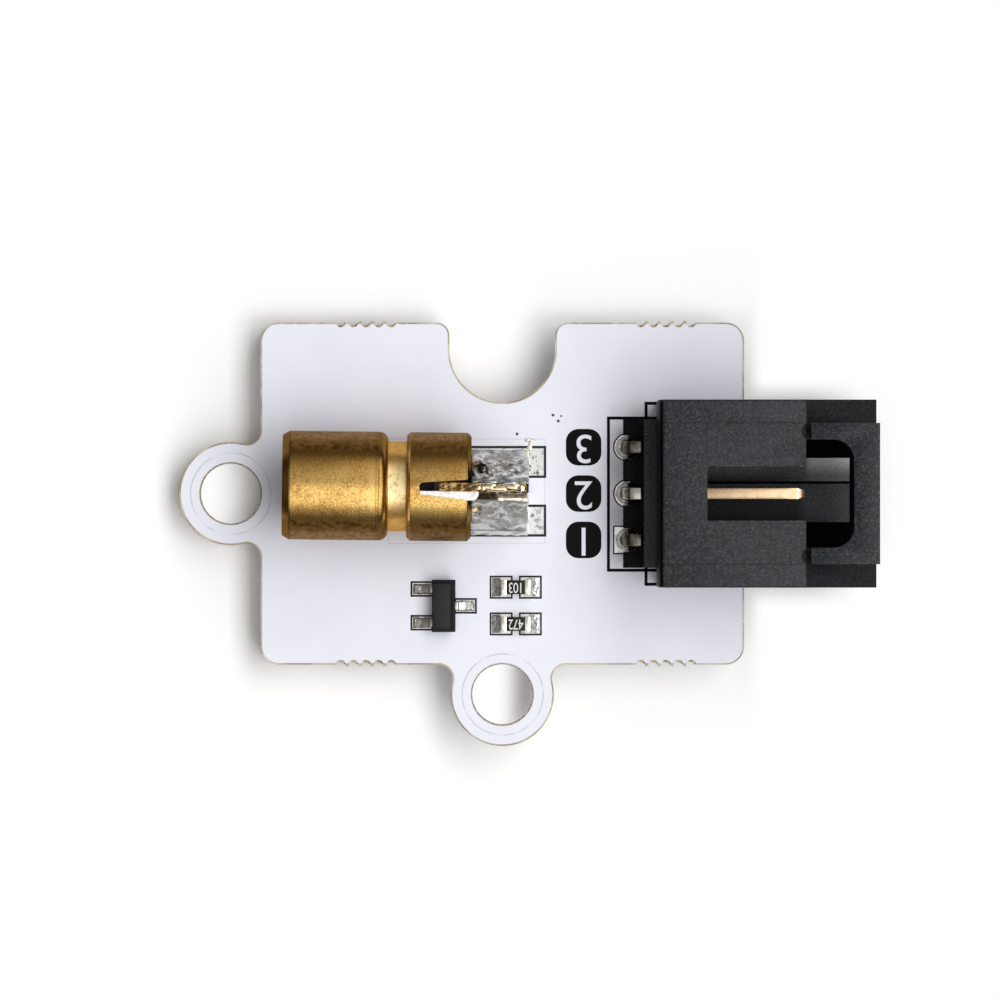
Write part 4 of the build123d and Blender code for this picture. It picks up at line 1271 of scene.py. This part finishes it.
def figures(growth, text_inputs, stretch=(1, 1, 1)):
    """Outlines of centred figures, turned by half a turn."""
    centred = {"align_x": "CENTER", "align_y": "MIDDLE"}
    text = growth.node("GeometryNodeStringToCurves", centred, text_inputs)
    text = growth.node("GeometryNodeRealizeInstances", inputs={0: text})
    return growth.node("GeometryNodeTransform", inputs={0: text, 2: HALF_TURN, 3: stretch})


def finish_print(growth, curves):
    """Fills closed outlines and raises them into a thin closed solid."""
    flat = growth.node("GeometryNodeFillCurve", {"mode": "NGONS"}, {0: curves})
    raising = {0: flat, 3: growth.inputs["Ink"], 4: False}
    raised = growth.node("GeometryNodeExtrudeMesh", {"mode": "FACES"}, raising)
    under = growth.node("GeometryNodeFlipFaces", inputs={0: flat})
    closed = growth.node("GeometryNodeJoinGeometry", inputs={0: [raised, under]})
    growth.finish(growth.node("GeometryNodeMergeByDistance", inputs={0: closed, 2: WELD_DISTANCE}))


black_ink = ink("legend_ink", grey(0.001), seed=91)
white_ink = ink("code_ink", (0.78, 0.78, 0.76), seed=94)

badges = Growth("badge", {"Number": "1", **BADGE_SIZES})
box = badges.node(RECTANGLE, inputs=badges.take("Width", "Height"))
rounding = {0: box, 1: CORNER_STEPS, 2: badges.inputs["Corner"]}
box = badges.node("GeometryNodeFilletCurve", {"mode": "POLY"}, rounding)
glyph = figures(badges, badges.take("Number", "Glyph"))
finish_print(badges, badges.node("GeometryNodeJoinGeometry", inputs={0: [box, glyph]}))

for index, number in enumerate("321"):
    place = (BADGE_X, PIN_PITCH * (1 - index), BOARD_TOP)
    mesh = badges.grow(black_ink, place, Number=number)
    add_piece(f"pin_badge_{number}", mesh, black_ink)

frames = Growth("legend_frame", {"Length": 2.0, "Width": 8.0, "Line": LINE_WIDTH, "Ink": INK_THICKNESS})
loop = frames.node(RECTANGLE, inputs=frames.take("Length", "Width"))
stroke = frames.node(RECTANGLE, inputs=frames.take("Line", "Ink"))
frames.finish(frames.node("GeometryNodeCurveToMesh", inputs={0: loop, 1: stroke, 3: True}))


def legend_frame(name, x_from, x_to, y_from, y_to):
    """A printed rectangle whose line runs along the given box."""
    middle = ((x_from + x_to) / 2, (y_from + y_to) / 2, BOARD_TOP + INK_THICKNESS / 2)
    mesh = frames.grow(black_ink, middle, Length=x_to - x_from, Width=y_to - y_from)
    add_piece(name, mesh, black_ink)


legend_frame("legend_frame_pins", 20.70, 24.6, -4.2, 4.14)
legend_frame("legend_frame_header", 22.76, 27.4, -4.97, 4.95)

# %% [markdown]
# ## Codes on the chip resistors
# Chip resistors carry a three-digit value in white, printed on the glaze. The digits here are plain
# numbers of that kind, upside down as the chips lie on this board.

# %% Resistor codes
DIGIT_SPACING = 0.92
DIGIT_STRETCH = (0.74, 1, 1)

codes = Growth("chip_code", {"Digits": "123", "Size": 0.80, "Ink": 0.008})
text_inputs = {**codes.take("Digits", "Size"), 2: DIGIT_SPACING}
finish_print(codes, figures(codes, text_inputs, DIGIT_STRETCH))

for index, digits in ((1, "103"), (2, "472")):
    low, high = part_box(f"resistor_{index}_coat")
    middle = (low + high) / 2 / MM
    mesh = codes.grow(white_ink, (middle.x, middle.y, high.z / MM), Digits=digits)
    add_piece(f"resistor_code_{index}", mesh, white_ink)

# %% [markdown]
# ## Torn lips in the half holes
# When the panel was snapped, each half hole kept a brown lip of laminate on one side. A lip is an arc
# with a round section that thins out to both ends. The tree draws one and repeats it along the row.

# %% Lips of the half holes
LIP_START = math.radians(225)
LIP_SWEEP = math.radians(135)
LIP_POINTS = 12
LIP_SIDES = 6
lip_sizes = {"Count": 5, "Pitch": 0.69, "Radius": 0.24, "Thickness": 0.11, "Drop": 0.16}

lips = Growth("torn_lips", lip_sizes)
arc_inputs = {0: LIP_POINTS, 4: lips.inputs["Radius"], 5: LIP_START, 6: LIP_SWEEP}
arc = lips.node("GeometryNodeCurveArc", inputs=arc_inputs)
along = lips.node("GeometryNodeSplineParameter")
share = along * (1 - along) * 4.0
thick = share * lips.inputs["Thickness"]
section = lips.node("GeometryNodeCurvePrimitiveCircle", inputs={0: LIP_SIDES, 4: 1.0})
lip = lips.node("GeometryNodeCurveToMesh", inputs={0: arc, 1: section, 2: thick, 3: True})
row_start = lips.inputs["Pitch"] * -0.5 * (lips.inputs["Count"] - 1.0)
first = lips.node("ShaderNodeCombineXYZ", inputs={0: row_start, 2: lips.inputs["Drop"] * -1.0})
step = lips.node("ShaderNodeCombineXYZ", inputs={0: lips.inputs["Pitch"]})
row = lips.node("GeometryNodeMeshLine", inputs={0: lips.inputs["Count"], 2: first, 3: step})
lips.finish(lips.node("GeometryNodeInstanceOnPoints", inputs={0: row, 2: lip}))


def torn_laminate():
    paint = Paint("torn_laminate")
    cloud = paint.noise(0.12, seed=98, detail=3)
    paint.color = paint.mix(cloud.rise(0.4, 0.62), (0.30, 0.19, 0.08), (0.70, 0.55, 0.33))
    return paint.finish(cloud * 0.2 + 0.5, relief=cloud * 0.02)


lip_material = torn_laminate()
half_hole_rows = [(row_x, side) for row_x in BREAK_OFF_ROWS for side in (1, -1)]
for index, (row_x, side) in enumerate(half_hole_rows, start=1):
    edge = side * BOARD_HALF_WIDTH
    mesh = lips.grow(lip_material, (BOARD_MID_X + row_x, edge, CORE_TOP))
    if side < 0:
        for vert in mesh.vertices:
            vert.co.y = 2 * edge * MM - vert.co.y
        mesh.flip_normals()
    add_piece(f"torn_lips_{index}", mesh, lip_material)

# %% [markdown]
# ## Light, floor and world
# One very wide lamp stands to the right, and a weak softbox beyond the picture's lower edge. Metal
# shows what is round it, so the world is bright overhead and dims towards the horizon: that gives the
# brass its bright stripe between two dark ones. Camera rays and rays through glass see plain white
# instead, and so do mirrors that look down. The module rests on its three pin tails and on the edge of
# the left lug, so the small floor leans by a few degrees in the module's own frame. The photograph's
# background is pure white to the right of the board and under the lit side of the screw holes, and
# nearly so above the board. There and far away the floor turns plain white for camera, glossy and
# transmission rays. Elsewhere it keeps the module's shadow.

# %% Lights and floor
AIM = to_metres(15, 0, 2)
SKY_FADE = (0.1, 1.0)
SKY_AT_HORIZON = 0.03
SKY_OVERHEAD = 0.45
BELOW_HORIZON = (-0.08, -0.12)
TAIL_X = PIN_ROW_X - 0.21
LUG_END_X = cad_box[0][0] / MM + 0.09
FLOOR_TILT = math.atan2(-cad_box[0][2] / MM, TAIL_X - LUG_END_X)
FLOOR_REACH = 130
FAR_AWAY = (40, 90)
BESIDE_HEADER = (4.9, 6.4)
PAST_HEADER = (35.4, 37.4)
RIGHT_OF_BOARD = (28.1, 29.3)
ABOVE_BOARD = (9.5, 10.6)
HOLE_RIM = (1.6, 2.1)
SHADE_IN_HOLES = ((-1.6, 1.7), (-0.35, 1.35))


def area_light(name, place, size, power):
    """A rectangular lamp at a place in millimetres, with its size in metres."""
    data = bpy.data.lights.new(name, "AREA")
    data.shape = "RECTANGLE"
    data.size, data.size_y = size
    data.energy = power
    light = linked(name, data)
    light.location = to_metres(*place)
    light.rotation_euler = (AIM - light.location).to_track_quat("-Z", "Y").to_euler()


def studio_world():
    """Grey sky for what it lights and mirrors, plain white for what looks straight through."""
    world = bpy.data.worlds.new("studio")
    world.use_nodes = True
    sky = Formula(world.node_tree)
    direction = sky.node("ShaderNodeTexCoord", output="Generated")
    height = sky.node("ShaderNodeSeparateXYZ", inputs={0: direction}, output="Z")
    fade = height.rise(*SKY_FADE) * (SKY_OVERHEAD - SKY_AT_HORIZON) + SKY_AT_HORIZON
    start, end = BELOW_HORIZON
    below = sky.node("ShaderNodeMapRange", inputs={0: height, 1: start, 2: end})
    white = widest(sky.rays("Camera", "Transmission"), sky.rays("Glossy") * below)
    background = sky.tree.nodes["Background"]
    sky.connect(widest(fade, white), background.inputs["Strength"])
    sky.connect((1, 1, 1), background.inputs["Color"])
    return world


def leaning_floor():
    """A square under the module, turned about the lug's end until it meets the pin tails."""
    mesh = bpy.data.meshes.new("floor")
    signs = ((-1, -1), (1, -1), (1, 1), (-1, 1))
    corners = [to_metres(x * FLOOR_REACH, y * FLOOR_REACH, 0) for x, y in signs]
    mesh.from_pydata(corners, [], [(0, 1, 2, 3)])
    hinge = Matrix.Translation(to_metres(LUG_END_X, 0, 0))
    lean = hinge @ Matrix.Rotation(FLOOR_TILT, 4, "Y") @ hinge.inverted()
    mesh.transform(lean @ Matrix.Translation(to_metres(BOARD_MID_X, 0, 0)))
    return mesh


def floor_finish():
    """White paper that glows plain white where the photograph shows no shadow."""
    paint = Paint("white_floor", grey(0.965), specular_ior_level=0.0)
    x, y = paint.axes("XY")
    far_away = distance_from(x, y, (BOARD_MID_X, 0)).rise(*FAR_AWAY)
    off_header = widest(y.abs().rise(*BESIDE_HEADER), x.rise(*PAST_HEADER))
    white = [far_away, x.rise(*RIGHT_OF_BOARD) * off_header, y.rise(*ABOVE_BOARD) * 0.6]
    for centre, shade in zip(LUG_HOLES, SHADE_IN_HOLES):
        under_hole = 1 - distance_from(x, y, centre).rise(*HOLE_RIM)
        white.append(under_hole * (1 - (x - centre[0]).rise(*shade)))
    seen = paint.rays("Camera", "Glossy", "Transmission")
    paint.take_over(widest(*white) * seen, "ShaderNodeEmission", (1, 1, 1))
    return paint.finish(rough=0.9)


area_light("key", place=(246, 0, 400), size=(1.3, 0.26), power=3.4)
area_light("softbox", place=(15, -170, 400), size=(0.28, 0.35), power=0.22)
bpy.context.scene.world = studio_world()
floor = linked("floor", leaning_floor())
floor.data.materials.append(floor_finish())
floor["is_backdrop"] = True
print("studio ready, floor tilted by", round(math.degrees(FLOOR_TILT), 2), "degrees")

# %% Sizes
look_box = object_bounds()
sizes = {"cad": [list(corner) for corner in cad_box], "look": [list(corner) for corner in look_box]}
for name, corners in sizes.items():
    print(name, [[round(v / MM, 3) for v in corner] for corner in corners])
